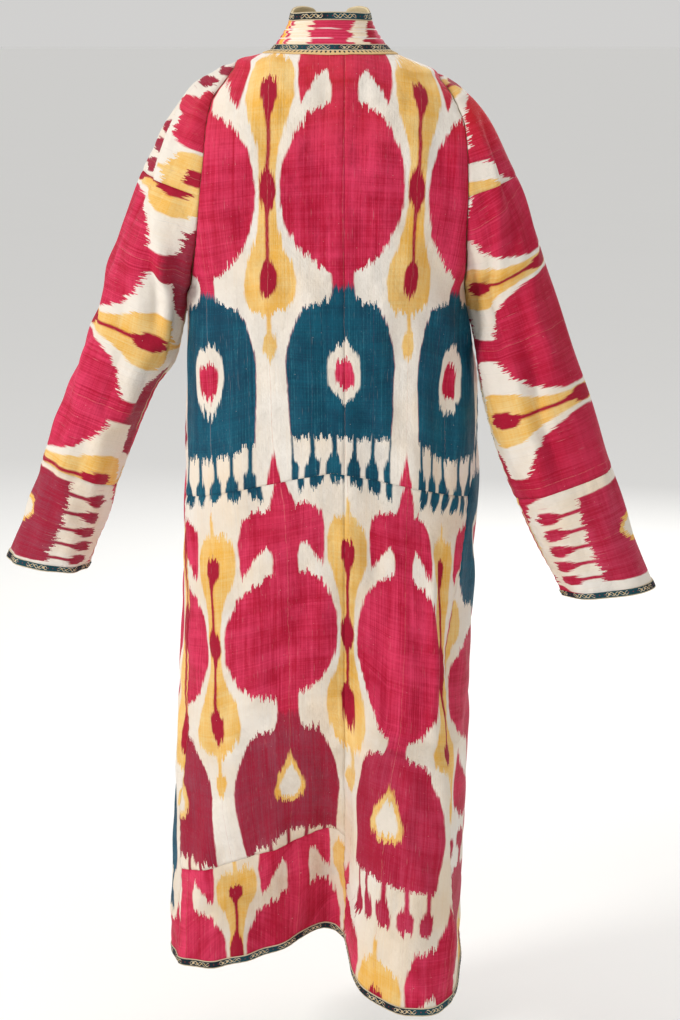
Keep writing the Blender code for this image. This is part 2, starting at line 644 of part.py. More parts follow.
def with_foot_row(grid, width):
    """The grid with one more row, this far from its last one towards the row before it."""
    rows = []
    points, normals = grid
    reach = np.linalg.norm(points[-2] - points[-1], axis=-1)
    share = np.minimum(width / np.maximum(reach, 1e-9), 1.0)[:, None]
    for values in (points, normals):
        extra = values[-1] + (values[-2] - values[-1]) * share
        rows.append(np.concatenate([values[:-1], extra[None], values[-1:]]))
    return rows[0], rows[1]


def with_head_row(grid, width):
    turned = with_foot_row((grid[0][::-1], grid[1][::-1]), width)
    return turned[0][::-1], turned[1][::-1]


def make_body(materials):
    last = len(EDGE_ROWS) - 1
    grids = {}
    for side, word, columns in ((1, "left", LEFT_BACK_COLUMNS), (-1, "right", RIGHT_BACK_COLUMNS)):
        back = body_grid(back_angle, side, 0, last, columns)
        back = with_head_row(with_foot_row(back, HEM_TAPE_WIDTH), NECK_TAPE_WIDTH)
        front = body_grid(front_angle, side, 0, last, FRONT_COLUMNS, HEM_TAPE_WIDTH)
        gusset = body_grid(gusset_angle, side, GUSSET_ROW, last, GUSSET_COLUMNS)
        grids["back", side] = back
        grids["front", side] = with_foot_row(front, HEM_TAPE_WIDTH)
        grids["side", side] = with_foot_row(gusset, HEM_TAPE_WIDTH)
        points, normals = grids["back", side]
        waist = WAIST_ROW + 1
        hem = last + 2
        foot = HEM_PIECE_ROW + 1 if side > 0 else hem
        upper = slice(0, waist + 1)
        lower = slice(waist, foot + 1)
        shell(f"back_upper_{word}", *flat_grid(points[upper], normals[upper]), materials["ikat"])
        shell(f"back_lower_{word}", *flat_grid(points[lower], normals[lower]), materials["ikat"])
        if foot < hem:
            rest = slice(foot, hem + 1)
            shell("back_hem_piece", *flat_grid(points[rest], normals[rest]), materials["ikat"])
        shell(f"side_{word}", *flat_grid(*grids["side", side]), materials["ikat"])
        shell(f"front_{word}", *flat_grid(*grids["front", side]), materials["ikat"])
    return grids


def make_sleeve(side, word, table, materials):
    last = len(LEFT_SLEEVE) - 1
    shares = np.linspace(-1, 1, SLEEVE_COLUMNS + 1)
    points = np.array([[sleeve_point(table, side, i, s) for s in shares] for i in range(last + 1)])
    normals = np.zeros_like(points)
    surface = sleeve_surface(table, side)
    for i in range(last + 1):
        for j, share in enumerate(shares):
            near = min(max(share, -SLEEVE_EDGE_SHARE), SLEEVE_EDGE_SHARE)
            row = min(max(i, ROW_STEP), last - ROW_STEP)
            normals[i, j] = side * normal_of(surface, row, near, ROW_STEP, SLEEVE_SHARE_STEP)
    for i in range(SLEEVE_ARMPIT_ROW, last + 1):
        points[i, 0] = points[i, -1]
    points, normals = with_foot_row((points, normals), CUFF_TAPE_WIDTH)
    bounds = (0, *SLEEVE_SEAM_ROWS, last + 1)
    for part, first, end in zip(("upper", "middle", "cuff"), bounds, bounds[1:]):
        rows = slice(first, end + 1)
        shell(f"sleeve_{part}_{word}", *flat_grid(points[rows], normals[rows]), materials["ikat"])
    return points, normals


def collar_places():
    back_left = [back_angle(EDGE_ROWS[0][0], s, 1) / 90 for s in np.linspace(0, 1, LEFT_BACK_COLUMNS + 1)]
    back_right = [back_angle(EDGE_ROWS[0][0], s, -1) / 90 for s in np.linspace(0, 1, RIGHT_BACK_COLUMNS + 1)]
    steps = len(COLLAR_LEVELS) - 1
    front = [1 + i / steps for i in range(1, steps + 1)]
    return [-p for p in reversed(front)] + back_right[::-1] + back_left[1:] + front


def rib_height(share):
    at = (share - RIB_START) / (RIB_END - RIB_START)
    if not 0 < at < 1:
        return 0.0
    return RIB_HEIGHT * abs(math.sin(math.pi * RIB_COUNT * at))


def point_key(point):
    return tuple(np.round(point * KEY_SCALE).astype(int))


def make_collar(materials):
    places = collar_places()
    half_ribs = [RIB_START + (RIB_END - RIB_START) * i / (2 * RIB_COUNT) for i in range(2 * RIB_COUNT + 1)]
    shares = [0.0] + half_ribs + [1.0]
    points = np.array([[collar_point(p, s) for s in shares] for p in places])
    normals = np.zeros_like(points)
    for i, place in enumerate(places):
        near = min(max(place, PLACE_STEP - 2), 2 - PLACE_STEP)
        for j, share in enumerate(shares):
            height = min(max(share, COLLAR_SHARE_STEP), 1 - COLLAR_SHARE_STEP)
            normals[i, j] = normal_of(collar_point, near, height, PLACE_STEP, COLLAR_SHARE_STEP)
    if normals[len(places) // 2, 3][1] < 0:
        normals = -normals
    ribbed = points + normals * np.array([rib_height(s) for s in shares])[None, :, None]
    flat_points, flat_normals, faces = flat_grid(ribbed, normals)
    inside = (points - normals * WALL).reshape(-1, 3)
    plain = {point_key(ribbed_point): point for ribbed_point, point in zip(flat_points, inside)}

    def inner(before, moved):
        return np.array([plain[point_key(old)] + new - old for old, new in zip(before, moved)])

    shell("collar", flat_points, flat_normals, faces, materials["ikat"], pull=COLLAR_PULL, inner=inner)
    return points, normals


def lay_tape(name, edge, inside, edge_normals, inside_normals, materials):
    """A tape on the outer face, from the line of points on an edge to the next line."""
    points = np.stack([edge, inside], axis=1)
    normals = np.stack([edge_normals, inside_normals], axis=1)
    normals /= np.linalg.norm(normals, axis=2)[:, :, None]
    shell(
        name,
        *flat_grid(points, normals),
        materials["tape"],
        wall=TAPE_THICK,
        pull=SEAM_PULL,
        base=TAPE_LIFT + TAPE_THICK,
    )


def hem_line(grids, which):
    """Points or normals along the hem row and the row above it, right front to left front."""
    lines = []
    for row in (-1, -2):
        parts = [grids["front", -1][which][row][::-1], grids["side", -1][which][row][::-1][1:]]
        parts += [grids["back", -1][which][row][::-1][1:], grids["back", 1][which][row][1:]]
        parts += [grids["side", 1][which][row][1:], grids["front", 1][which][row][1:]]
        lines.append(np.concatenate(parts))
    return lines


def make_tapes(grids, sleeves, collar, materials):
    hem_points, above_points = hem_line(grids, 0)
    hem_normals, above_normals = hem_line(grids, 1)
    lay_tape("hem_tape", hem_points, above_points, hem_normals, above_normals, materials)
    for side, word in ((1, "left"), (-1, "right")):
        points, normals = grids["front", side]
        rows = slice(COLLAR_END_ROW, -1)
        ends = points[rows, -1], points[rows, -2], normals[rows, -1], normals[rows, -2]
        lay_tape(f"front_tape_{word}", *ends, materials)
        points, normals = sleeves[side]
        lay_tape(f"cuff_tape_{word}", points[-1], points[-2], normals[-1], normals[-2], materials)
    points, normals = collar
    ends = points[:, -1], points[:, -2], normals[:, -1], normals[:, -2]
    lay_tape("collar_edge_tape", *ends, materials)
    lines = []
    top = slice(1, COLLAR_END_ROW)
    for which in (0, 1):
        right = grids["front", -1][which]
        left = grids["front", 1][which]
        back_right = grids["back", -1][which]
        back_left = grids["back", 1][which]
        edge = [right[top, -1][::-1], back_right[0][::-1], back_left[0][1:], left[top, -1]]
        inside = [right[top, -2][::-1], back_right[1][::-1], back_left[1][1:], left[top, -2]]
        lines.append([np.concatenate(edge), np.concatenate(inside)])
    corner = COLLAR_END_ROW - 2
    for at in (corner, corner + 1, -corner - 2, -corner - 1):
        for line, facing in zip(lines[0], lines[1]):
            line[at] += facing[at] * NECK_TAPE_CORNER_LIFT
    lay_tape("collar_base_tape", *lines[0], *lines[1], materials)


def main():
    clear_scene()
    materials = {
        "ikat": cloth("ikat_cloth", (0.60, 0.12, 0.13), 0.75),
        "tape": cloth("trim_tape", (0.03, 0.06, 0.07), 0.8),
    }
    grids = make_body(materials)
    sleeves = {
        1: make_sleeve(1, "left", left_sleeve_at, materials),
        -1: make_sleeve(-1, "right", right_sleeve_at, materials),
    }
    collar = make_collar(materials)
    make_tapes(grids, sleeves, collar, materials)


main()
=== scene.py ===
"""The looks of a long open robe of ikat cloth: its panels, collar, sleeves and taped edges.

Metres, +Z up. The wearer's back is +Y and the wearer's left is +X. Each cloth piece is a thin shell
laid out from the same named tables as the part, with creases, seams, a charted ikat and its trim.
"""
import math

import bpy
import numpy as np
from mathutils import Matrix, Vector


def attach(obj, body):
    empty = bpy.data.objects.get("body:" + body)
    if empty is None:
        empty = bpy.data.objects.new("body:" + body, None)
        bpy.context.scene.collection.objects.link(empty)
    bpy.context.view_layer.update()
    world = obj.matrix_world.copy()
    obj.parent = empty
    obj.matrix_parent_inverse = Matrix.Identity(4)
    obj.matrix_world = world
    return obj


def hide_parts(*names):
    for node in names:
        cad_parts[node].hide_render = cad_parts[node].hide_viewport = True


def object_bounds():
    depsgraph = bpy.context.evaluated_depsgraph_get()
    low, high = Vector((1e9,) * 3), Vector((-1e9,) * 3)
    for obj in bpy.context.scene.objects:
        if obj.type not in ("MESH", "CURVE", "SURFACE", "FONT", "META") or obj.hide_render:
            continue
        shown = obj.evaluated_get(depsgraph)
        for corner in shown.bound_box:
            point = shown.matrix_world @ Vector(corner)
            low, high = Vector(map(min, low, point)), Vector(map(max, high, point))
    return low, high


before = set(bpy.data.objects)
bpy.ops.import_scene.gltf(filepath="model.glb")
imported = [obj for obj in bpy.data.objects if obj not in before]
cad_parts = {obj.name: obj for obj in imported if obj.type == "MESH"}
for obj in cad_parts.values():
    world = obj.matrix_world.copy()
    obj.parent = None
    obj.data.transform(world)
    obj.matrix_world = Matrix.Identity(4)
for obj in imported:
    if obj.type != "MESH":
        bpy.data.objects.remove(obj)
cad_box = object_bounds()

# ---- The form, from the part's own tables ---------------------------------------------------
WALL = 0.0020
TAPE_LIFT = 0.0004
TAPE_THICK = 0.0010
TAPE_WIDTH = 0.0105
RIB_COUNT = 6
RIB_HEIGHT = 0.0009
RIB_START = 0.06
RIB_END = 0.80
COLLAR_HOLLOW = 0.0050
CENTRE_SEAM_X = -0.015
HEM_LEVEL = -1.18
SEAM_RISE = 0.020
SEAM_DROP = 0.045
HEM_SWAY_TOP = -0.86
HEM_FOLD_POWER = 1.25
STAND_PLACE = 1.35
STAND_FADE = 0.40
SIDES = ((1, "left"), (-1, "right"))

# Level names a row of the body. Lean lifts the wearer's left of it and lowers the right. Left and
# right are how far out the row goes, at its armhole edge or at the side. Edge depths are how far
# behind and before the shoulder line that edge lies, and are 0 where the row is whole. Back and
# front are the depths of the row at its middle, round is its squareness, and bend says how much of
# the dip of the waist seam it takes.
EDGE = ("level", "lean", "left", "right", "back_edge", "front_edge", "back", "front", "round", "bend")
EDGE_ROWS = (
    (0.0120, 0.0000, 0.0790, 0.0730, 0.000, 0.000, 0.0670, 0.0400, 2.20, 0.0),
    (0.0050, 0.0015, 0.0980, 0.0920, 0.000, 0.000, 0.0800, 0.0520, 2.20, 0.0),
    (-0.0075, 0.0075, 0.1210, 0.1320, 0.000, 0.000, 0.0930, 0.0660, 2.25, 0.0),
    (-0.0160, 0.0070, 0.1250, 0.1360, 0.022, 0.020, 0.0990, 0.0730, 2.30, 0.0),
    (-0.0300, 0.0050, 0.1360, 0.1450, 0.045, 0.040, 0.1060, 0.0810, 2.35, 0.0),
    (-0.0500, 0.0030, 0.1500, 0.1540, 0.068, 0.060, 0.1120, 0.0900, 2.40, 0.0),
    (-0.0800, 0.0010, 0.1570, 0.1640, 0.086, 0.076, 0.1180, 0.0990, 2.40, 0.0),
    (-0.1150, 0.0000, 0.1600, 0.1670, 0.096, 0.086, 0.1220, 0.1060, 2.40, 0.0),
    (-0.1650, 0.0000, 0.1655, 0.1680, 0.100, 0.090, 0.1240, 0.1100, 2.40, 0.0),
    (-0.2000, 0.0000, 0.1690, 0.1670, 0.092, 0.083, 0.1240, 0.1120, 2.40, 0.0),
    (-0.2380, 0.0000, 0.1730, 0.1660, 0.075, 0.068, 0.1230, 0.1130, 2.40, 0.0),
    (-0.2720, 0.0000, 0.1790, 0.1670, 0.048, 0.044, 0.1220, 0.1140, 2.40, 0.0),
    (-0.2980, 0.0000, 0.1850, 0.1700, 0.000, 0.000, 0.1210, 0.1150, 2.40, 0.0),
    (-0.3600, 0.0000, 0.1880, 0.1800, 0.000, 0.000, 0.1190, 0.1160, 2.40, 0.0),
    (-0.4200, 0.0000, 0.1900, 0.1875, 0.000, 0.000, 0.1180, 0.1170, 2.40, 0.3),
    (-0.4700, 0.0000, 0.1915, 0.1885, 0.000, 0.000, 0.1175, 0.1175, 2.40, 0.7),
    (-0.5300, 0.0000, 0.1930, 0.1880, 0.000, 0.000, 0.1170, 0.1180, 2.40, 1.0),
    (-0.6000, 0.0000, 0.1955, 0.1855, 0.000, 0.000, 0.1180, 0.1190, 2.40, 1.0),
    (-0.6800, 0.0000, 0.1985, 0.1830, 0.000, 0.000, 0.1200, 0.1200, 2.40, 1.0),
    (-0.7500, 0.0000, 0.2025, 0.1810, 0.000, 0.000, 0.1220, 0.1210, 2.40, 1.0),
    (-0.8300, 0.0000, 0.2060, 0.1785, 0.000, 0.000, 0.1240, 0.1225, 2.40, 1.0),
    (-0.9000, 0.0000, 0.2100, 0.1770, 0.000, 0.000, 0.1260, 0.1240, 2.40, 1.0),
    (-0.9700, 0.0000, 0.2130, 0.1760, 0.000, 0.000, 0.1280, 0.1255, 2.40, 1.0),
    (-1.0300, 0.0000, 0.2160, 0.1730, 0.000, 0.000, 0.1300, 0.1270, 2.40, 1.0),
    (-1.0900, 0.0000, 0.2175, 0.1720, 0.000, 0.000, 0.1310, 0.1280, 2.40, 0.5),
    (-1.1400, 0.0000, 0.2180, 0.1710, 0.000, 0.000, 0.1320, 0.1290, 2.40, 0.2),
    (HEM_LEVEL, 0.0000, 0.2190, 0.1720, 0.000, 0.000, 0.1330, 0.1300, 2.40, 0.0),
)
ARMPIT_ROW = 12
GUSSET_ROW = 14
WAIST_ROW = 16
HEM_PIECE_ROW = 23
TOP_LEVEL = EDGE_ROWS[0][0]
ARMPIT_LEVEL = EDGE_ROWS[ARMPIT_ROW][0]
WAIST_LEVEL = EDGE_ROWS[WAIST_ROW][0]
HEM_PIECE_LEVEL = EDGE_ROWS[HEM_PIECE_ROW][0]

# Round the hem from the wearer's right (-180 is the front middle, 0 the back middle): how far the
# cloth stands off its plain row, how far it hangs below or above level, and where the fold starts.
HEM_FOLD = ("angle", "out", "rise", "start")
HEM_FOLDS = (
    (-180.0, 0.000, 0.004, -0.60),
    (-150.0, -0.012, 0.004, -0.60),
    (-125.0, 0.014, 0.000, -0.60),
    (-100.0, 0.002, -0.004, -0.60),
    (-88.0, 0.008, -0.006, -0.60),
    (-79.0, 0.024, -0.008, -0.58),
    (-67.0, 0.081, -0.013, -0.56),
    (-61.0, 0.099, -0.015, -0.54),
    (-47.0, 0.106, -0.018, -0.52),
    (-30.0, 0.095, -0.017, -0.52),
    (-18.0, 0.076, -0.010, -0.60),
    (-10.0, 0.052, -0.002, -0.70),
    (-6.2, 0.018, 0.010, -0.76),
    (-4.6, -0.040, 0.018, -0.78),
    (-2.9, -0.082, 0.024, -0.80),
    (1.5, -0.098, 0.033, -0.80),
    (8.0, -0.079, 0.024, -0.78),
    (18.0, -0.049, 0.013, -0.76),
    (29.5, -0.025, 0.008, -0.74),
    (42.5, -0.001, 0.002, -0.70),
    (56.0, 0.010, 0.000, -0.70),
    (72.0, 0.014, -0.002, -0.70),
    (90.0, 0.012, -0.002, -0.70),
    (115.0, 0.010, 0.000, -0.60),
    (140.0, -0.012, 0.003, -0.60),
    (165.0, 0.004, 0.004, -0.60),
    (180.0, 0.000, 0.004, -0.60),
)

# Soft lengthwise folds of the rest of the body: middle angle at the top and at the foot, the levels
# that it fades in and out at, its half width in degrees and its height.
FOLD = ("angle_top", "angle_foot", "top", "foot", "half", "height")
FOLDS = (
    (-31.0, -64.0, -0.50, -1.24, 9.0, 0.0060),
    (-44.0, -78.0, -0.55, -1.20, 9.0, -0.0050),
    (33.0, 26.0, -0.62, -1.10, 12.0, 0.0045),
    (62.0, 55.0, -0.50, -1.15, 12.0, -0.0045),
    (-58.0, -50.0, -0.18, -0.46, 12.0, 0.0035),
    (57.0, 48.0, -0.20, -0.52, 13.0, 0.0040),
    (-12.0, -20.0, -0.36, -0.70, 10.0, -0.0035),
    (12.0, 17.0, -0.30, -0.62, 12.0, -0.0030),
    (128.0, 140.0, -0.20, -1.10, 13.0, -0.0050),
    (108.0, 118.0, -0.40, -1.24, 13.0, 0.0060),
    (-130.0, -142.0, -0.22, -1.10, 13.0, -0.0050),
    (-112.0, -120.0, -0.42, -1.24, 13.0, 0.0055),
)

# Angles from the back middle at which the side gussets meet the backs and the fronts.
GUSSET = ("level", "left_back", "right_back", "left_front", "right_front")
GUSSET_ROWS = (
    (0.012, 90.0, 90.0, 90.0, 90.0),
    (-0.420, 90.0, 90.0, 90.0, 90.0),
    (-0.500, 82.0, 73.0, 101.0, 104.0),
    (-0.600, 75.0, 62.0, 109.0, 114.0),
    (-0.740, 71.0, 53.0, 115.0, 121.0),
    (-0.860, 70.0, 56.0, 116.0, 121.0),
    (-1.050, 70.0, 62.0, 117.0, 120.0),
    (HEM_LEVEL, 70.0, 63.0, 117.0, 120.0),
)

# Half the width of the neckline and, below the collar's end, of the front opening.
FRONT_EDGE = ("level", "x")
FRONT_EDGES = (
    (0.0120, 0.0760),
    (0.0050, 0.0770),
    (-0.0075, 0.0765),
    (-0.0160, 0.0755),
    (-0.0300, 0.0710),
    (-0.0500, 0.0655),
    (-0.0800, 0.0600),
    (-0.1150, 0.0560),
    (-0.1650, 0.0525),
    (-0.2380, 0.0505),
    (-0.2980, 0.0480),
    (-0.3600, 0.0380),
    (-0.4200, 0.0180),
    (-0.4700, 0.0080),
    (-0.7500, 0.0120),
    (-1.0300, 0.0200),
    (HEM_LEVEL, 0.0260),
)
COLLAR_X = 0.0030
COLLAR_END_ROW = 15
FRONT_SHIFT_FADE = -0.30

# The collar's free edge, by place: 0 is the back middle, 1 the shoulder, 2 the end of the band.
FREE_EDGE = ("place", "x", "y", "z")
FREE_EDGES = (
    (0.00, 0.0000, 0.0460, 0.0600),
    (0.35, 0.0260, 0.0410, 0.0595),
    (0.70, 0.0440, 0.0240, 0.0585),
    (1.00, 0.0490, 0.0040, 0.0600),
    (1.08, 0.0460, -0.0180, 0.0650),
    (1.16, 0.0360, -0.0400, 0.0675),
    (1.24, 0.0225, -0.0560, 0.0650),
    (1.32, 0.0115, -0.0740, 0.0240),
    (1.40, 0.0060, -0.0930, -0.0330),
    (1.50, 0.0045, -0.1000, -0.0680),
    (1.60, 0.0032, -0.1090, -0.1430),
    (1.70, 0.0030, -0.1125, -0.2080),
    (1.80, 0.0030, -0.1140, -0.2600),
    (1.90, 0.0040, -0.1165, -0.3720),
    (2.00, 0.0055, -0.1178, -0.4660),
)

# Rows of the sleeves from the shoulder to the cuff. Out and down place the outer line. In the cap
# the other edge is the armhole, level by level; below the armpit it's the inner line. Turn is how far
# round the cloth goes from the outer line, depths are half of the ring's depth, shift is how far
# its middle swings back, and pin holds the middle at the armhole's.
SLEEVE = ("out", "down", "level", "in_out", "in_down", "turn", "back_depth", "front_depth", "shift", "pin")
LEFT_SLEEVE = (
    (0.1235, -0.0015, -0.0088, 0.1215, -0.0030, 90.0, 0.004, 0.004, 0.000, 1.0),
    (0.1370, -0.0080, -0.0160, 0.1250, -0.0090, 90.0, 0.022, 0.020, 0.000, 1.0),
    (0.1550, -0.0180, -0.0300, 0.1360, -0.0250, 90.0, 0.045, 0.040, 0.000, 1.0),
    (0.1760, -0.0300, -0.0500, 0.1500, -0.0470, 90.0, 0.068, 0.060, 0.000, 1.0),
    (0.2020, -0.0620, -0.0800, 0.1570, -0.0790, 90.0, 0.086, 0.076, -0.002, 1.0),
    (0.2210, -0.0950, -0.1150, 0.1600, -0.1150, 90.0, 0.096, 0.086, -0.004, 1.0),
    (0.2410, -0.1390, -0.1650, 0.1655, -0.1650, 90.0, 0.100, 0.090, -0.006, 1.0),
    (0.2550, -0.1710, -0.2000, 0.1690, -0.2000, 105.0, 0.095, 0.086, -0.008, 1.0),
    (0.2690, -0.2050, -0.2380, 0.1730, -0.2380, 122.0, 0.088, 0.080, -0.010, 1.0),
    (0.2810, -0.2360, -0.2720, 0.1790, -0.2720, 145.0, 0.080, 0.073, -0.012, 1.0),
    (0.2910, -0.2640, -0.2980, 0.1850, -0.2980, 180.0, 0.070, 0.064, -0.014, 1.0),
    (0.3000, -0.2980, -0.2980, 0.1930, -0.3370, 180.0, 0.064, 0.058, -0.018, 0.5),
    (0.3155, -0.3400, -0.2980, 0.2065, -0.3815, 180.0, 0.060, 0.055, -0.021, 0.0),
    (0.3330, -0.3870, -0.2980, 0.2350, -0.4240, 180.0, 0.058, 0.053, -0.024, 0.0),
    (0.3510, -0.4340, -0.2980, 0.2550, -0.4700, 180.0, 0.057, 0.052, -0.027, 0.0),
    (0.3670, -0.4760, -0.2980, 0.2708, -0.5120, 180.0, 0.056, 0.052, -0.030, 0.0),
    (0.3820, -0.5150, -0.2980, 0.2850, -0.5520, 180.0, 0.056, 0.051, -0.033, 0.0),
    (0.3980, -0.5600, -0.2980, 0.2985, -0.5960, 180.0, 0.055, 0.051, -0.035, 0.0),
    (0.4160, -0.6040, -0.2980, 0.3145, -0.6320, 180.0, 0.054, 0.050, -0.038, 0.0),
    (0.4345, -0.6520, -0.2980, 0.3280, -0.6670, 180.0, 0.053, 0.049, -0.040, 0.0),
)
RIGHT_SLEEVE = (
    (0.1345, -0.0165, -0.0088, 0.1325, -0.0165, 90.0, 0.004, 0.004, 0.000, 1.0),
    (0.1460, -0.0215, -0.0160, 0.1360, -0.0230, 90.0, 0.022, 0.020, 0.000, 1.0),
    (0.1600, -0.0300, -0.0300, 0.1450, -0.0350, 90.0, 0.045, 0.040, 0.002, 1.0),
    (0.1770, -0.0460, -0.0500, 0.1540, -0.0530, 90.0, 0.068, 0.060, 0.004, 1.0),
    (0.1950, -0.0710, -0.0800, 0.1640, -0.0810, 90.0, 0.086, 0.076, 0.007, 1.0),
    (0.2110, -0.1010, -0.1150, 0.1670, -0.1150, 90.0, 0.096, 0.086, 0.010, 1.0),
    (0.2310, -0.1430, -0.1650, 0.1680, -0.1650, 90.0, 0.100, 0.090, 0.017, 1.0),
    (0.2440, -0.1720, -0.2000, 0.1670, -0.2000, 105.0, 0.095, 0.086, 0.022, 1.0),
    (0.2560, -0.2060, -0.2380, 0.1660, -0.2380, 122.0, 0.088, 0.080, 0.028, 1.0),
    (0.2660, -0.2360, -0.2720, 0.1670, -0.2720, 145.0, 0.080, 0.073, 0.033, 1.0),
    (0.2735, -0.2620, -0.2980, 0.1700, -0.2980, 180.0, 0.068, 0.062, 0.037, 1.0),
    (0.2880, -0.3060, -0.2980, 0.1790, -0.3440, 180.0, 0.060, 0.054, 0.044, 0.5),
    (0.3025, -0.3490, -0.2980, 0.1840, -0.3900, 180.0, 0.055, 0.050, 0.051, 0.0),
    (0.3190, -0.3960, -0.2980, 0.1945, -0.4400, 180.0, 0.052, 0.047, 0.058, 0.0),
    (0.3345, -0.4430, -0.2980, 0.2075, -0.4880, 180.0, 0.050, 0.045, 0.065, 0.0),
    (0.3485, -0.4860, -0.2980, 0.2240, -0.5300, 180.0, 0.048, 0.044, 0.071, 0.0),
    (0.3560, -0.5080, -0.2980, 0.2340, -0.5510, 180.0, 0.048, 0.043, 0.074, 0.0),
    (0.3730, -0.5560, -0.2980, 0.2540, -0.5940, 180.0, 0.047, 0.042, 0.080, 0.0),
    (0.3910, -0.6040, -0.2980, 0.2740, -0.6330, 180.0, 0.046, 0.042, 0.086, 0.0),
    (0.4130, -0.6600, -0.2980, 0.2940, -0.6720, 180.0, 0.045, 0.041, 0.093, 0.0),
)
SLEEVE_SEAM_ROWS = (6, 16)
SLEEVE_ARMPIT_ROW = 10

# Soft creases of the sleeves: rows between which each runs, its angle round the ring from the outer
# line (positive is the back), its half width in degrees and its height.
SLEEVE_FOLD = ("row_top", "row_foot", "angle_top", "angle_foot", "half", "height")
SLEEVE_FOLDS = (
    (8.0, 17.0, 118.0, 128.0, 20.0, 0.0035),
    (9.0, 19.0, 152.0, 160.0, 22.0, -0.0040),
    (7.0, 14.0, 62.0, 84.0, 22.0, -0.0030),
    (12.0, 19.0, 40.0, 60.0, 20.0, 0.0025),
    (8.0, 18.0, -70.0, -95.0, 24.0, -0.0035),
    (10.0, 19.0, -125.0, -120.0, 22.0, 0.0035),
)

SLEEVE_SHARES = 121
WHOLE_RING = 180.0
ENDS_FADE = 3
SLEEVE_FOOT_FADE = 4


def smooth_table(names, rows, key):
    """Every column of a table as a smooth function of its key column, with no overshoot."""
    table = np.array(rows, float)
    at = table[:, names.index(key)]
    if at[0] > at[-1]:
        table = table[::-1]
        at = at[::-1]
    gaps = np.diff(at)
    rise = np.diff(table, axis=0) / gaps[:, None]
    slope = np.zeros_like(table)
    near = 2 * gaps[1:, None] + gaps[:-1, None]
    far = gaps[1:, None] + 2 * gaps[:-1, None]
    same = rise[:-1] * rise[1:] > 0
    safe_before = np.where(same, rise[:-1], 1.0)
    safe_after = np.where(same, rise[1:], 1.0)
    slope[1:-1] = np.where(same, (near + far) / (near / safe_before + far / safe_after), 0.0)
    slope[0] = rise[0]
    slope[-1] = rise[-1]

    def read(values):
        values = np.clip(np.asarray(values, float), at[0], at[-1])
        i = np.clip(np.searchsorted(at, values, side="right") - 1, 0, len(gaps) - 1)
        t = ((values - at[i]) / gaps[i])[..., None]
        gap = gaps[i][..., None]
        start = (1 + 2 * t) * (1 - t) ** 2
        end = t * t * (3 - 2 * t)
        found = start * table[i] + end * table[i + 1]
        found = found + gap * (t * (1 - t) ** 2 * slope[i] - t * t * (1 - t) * slope[i + 1])
        return {name: found[..., k] for k, name in enumerate(names)}

    return read


edge_at = smooth_table(EDGE, EDGE_ROWS, "level")
hem_at = smooth_table(HEM_FOLD, HEM_FOLDS, "angle")
gusset_at = smooth_table(GUSSET, GUSSET_ROWS, "level")
front_edge_at = smooth_table(FRONT_EDGE, FRONT_EDGES, "level")
free_edge_at = smooth_table(FREE_EDGE, FREE_EDGES, "place")
SLEEVES = {1: LEFT_SLEEVE, -1: RIGHT_SLEEVE}


def eased(value):
    """0 to 1 as the value goes from 0 to 1, and level at both ends."""
    value = np.clip(value, 0.0, 1.0)
    return value * value * (3 - 2 * value)


def bell(offset, half):
    """1 in the middle, and less and less on both sides of it."""
    return np.exp(-((offset / half) ** 2))


def unit(vectors):
    return vectors / np.maximum(np.linalg.norm(vectors, axis=-1), 1e-12)[..., None]


def of_side(side, value_on):
    """The value on the wearer's left where side is above 0, and on the right elsewhere."""
    return np.where(side > 0, value_on(1), value_on(-1))


def fold_lift(names, rows, first, last, at, angle, fade):
    """How far the soft folds in a table lift the cloth at each place."""
    lift = 0.0
    for row in rows:
        fold = dict(zip(names, row))
        share = (at - fold[first]) / (fold[last] - fold[first])
        middle = fold["angle_top"] + share * (fold["angle_foot"] - fold["angle_top"])
        strength = eased(share * ENDS_FADE) * eased((1 - share) * fade)
        lift = lift + strength * fold["height"] * bell(angle - middle, fold["half"])
    return lift


def side_width(row, angle):
    """How wide the row would be if it went on round to the side."""
    behind = np.abs(angle) <= 90
    edge = np.where(behind, row["back_edge"], row["front_edge"])
    depth = np.where(behind, row["back"], row["front"])
    share = 1 - (edge / depth) ** row["round"]
    return np.where(angle >= 0, row["left"], row["right"]) / share ** (1 / row["round"])


def plain_point(level, angle):
    """Across and behind on the plain row, with no folds."""
    row = edge_at(level)
    turn = np.radians(angle)
    power = 2 / row["round"]
    across = np.sin(turn)
    behind = np.cos(turn)
    depth = np.where(behind >= 0, row["back"], row["front"])
    x = side_width(row, angle) * np.sign(across) * np.abs(across) ** power
    y = depth * np.sign(behind) * np.abs(behind) ** power
    return row, x, y


def body_point(level, angle):
    """The outer face of the body. The angle is 0 at the back middle and 90 at the wearer's left."""
    level, angle = np.broadcast_arrays(np.asarray(level, float), np.asarray(angle, float))
    row, x, y = plain_point(level, angle)
    across = np.sin(np.radians(angle))
    behind = np.cos(np.radians(angle))
    wrapped = (angle + 180) % 360 - 180
    hem = hem_at(wrapped)
    grown = np.maximum(0.0, (hem["start"] - level) / (hem["start"] - HEM_LEVEL)) ** HEM_FOLD_POWER
    lift = fold_lift(FOLD, FOLDS, "top", "foot", level, wrapped, ENDS_FADE)
    y = y + hem["out"] * grown * np.where(behind >= 0, 1, -1)
    x = x + lift * across
    y = y + lift * behind
    z = level + row["lean"] * across
    z = z + row["bend"] * (SEAM_RISE - SEAM_DROP * np.abs(across))
    z = z + hem["rise"] * eased((HEM_SWAY_TOP - level) / (HEM_SWAY_TOP - HEM_LEVEL))
    return np.stack([x, y, z], axis=-1)


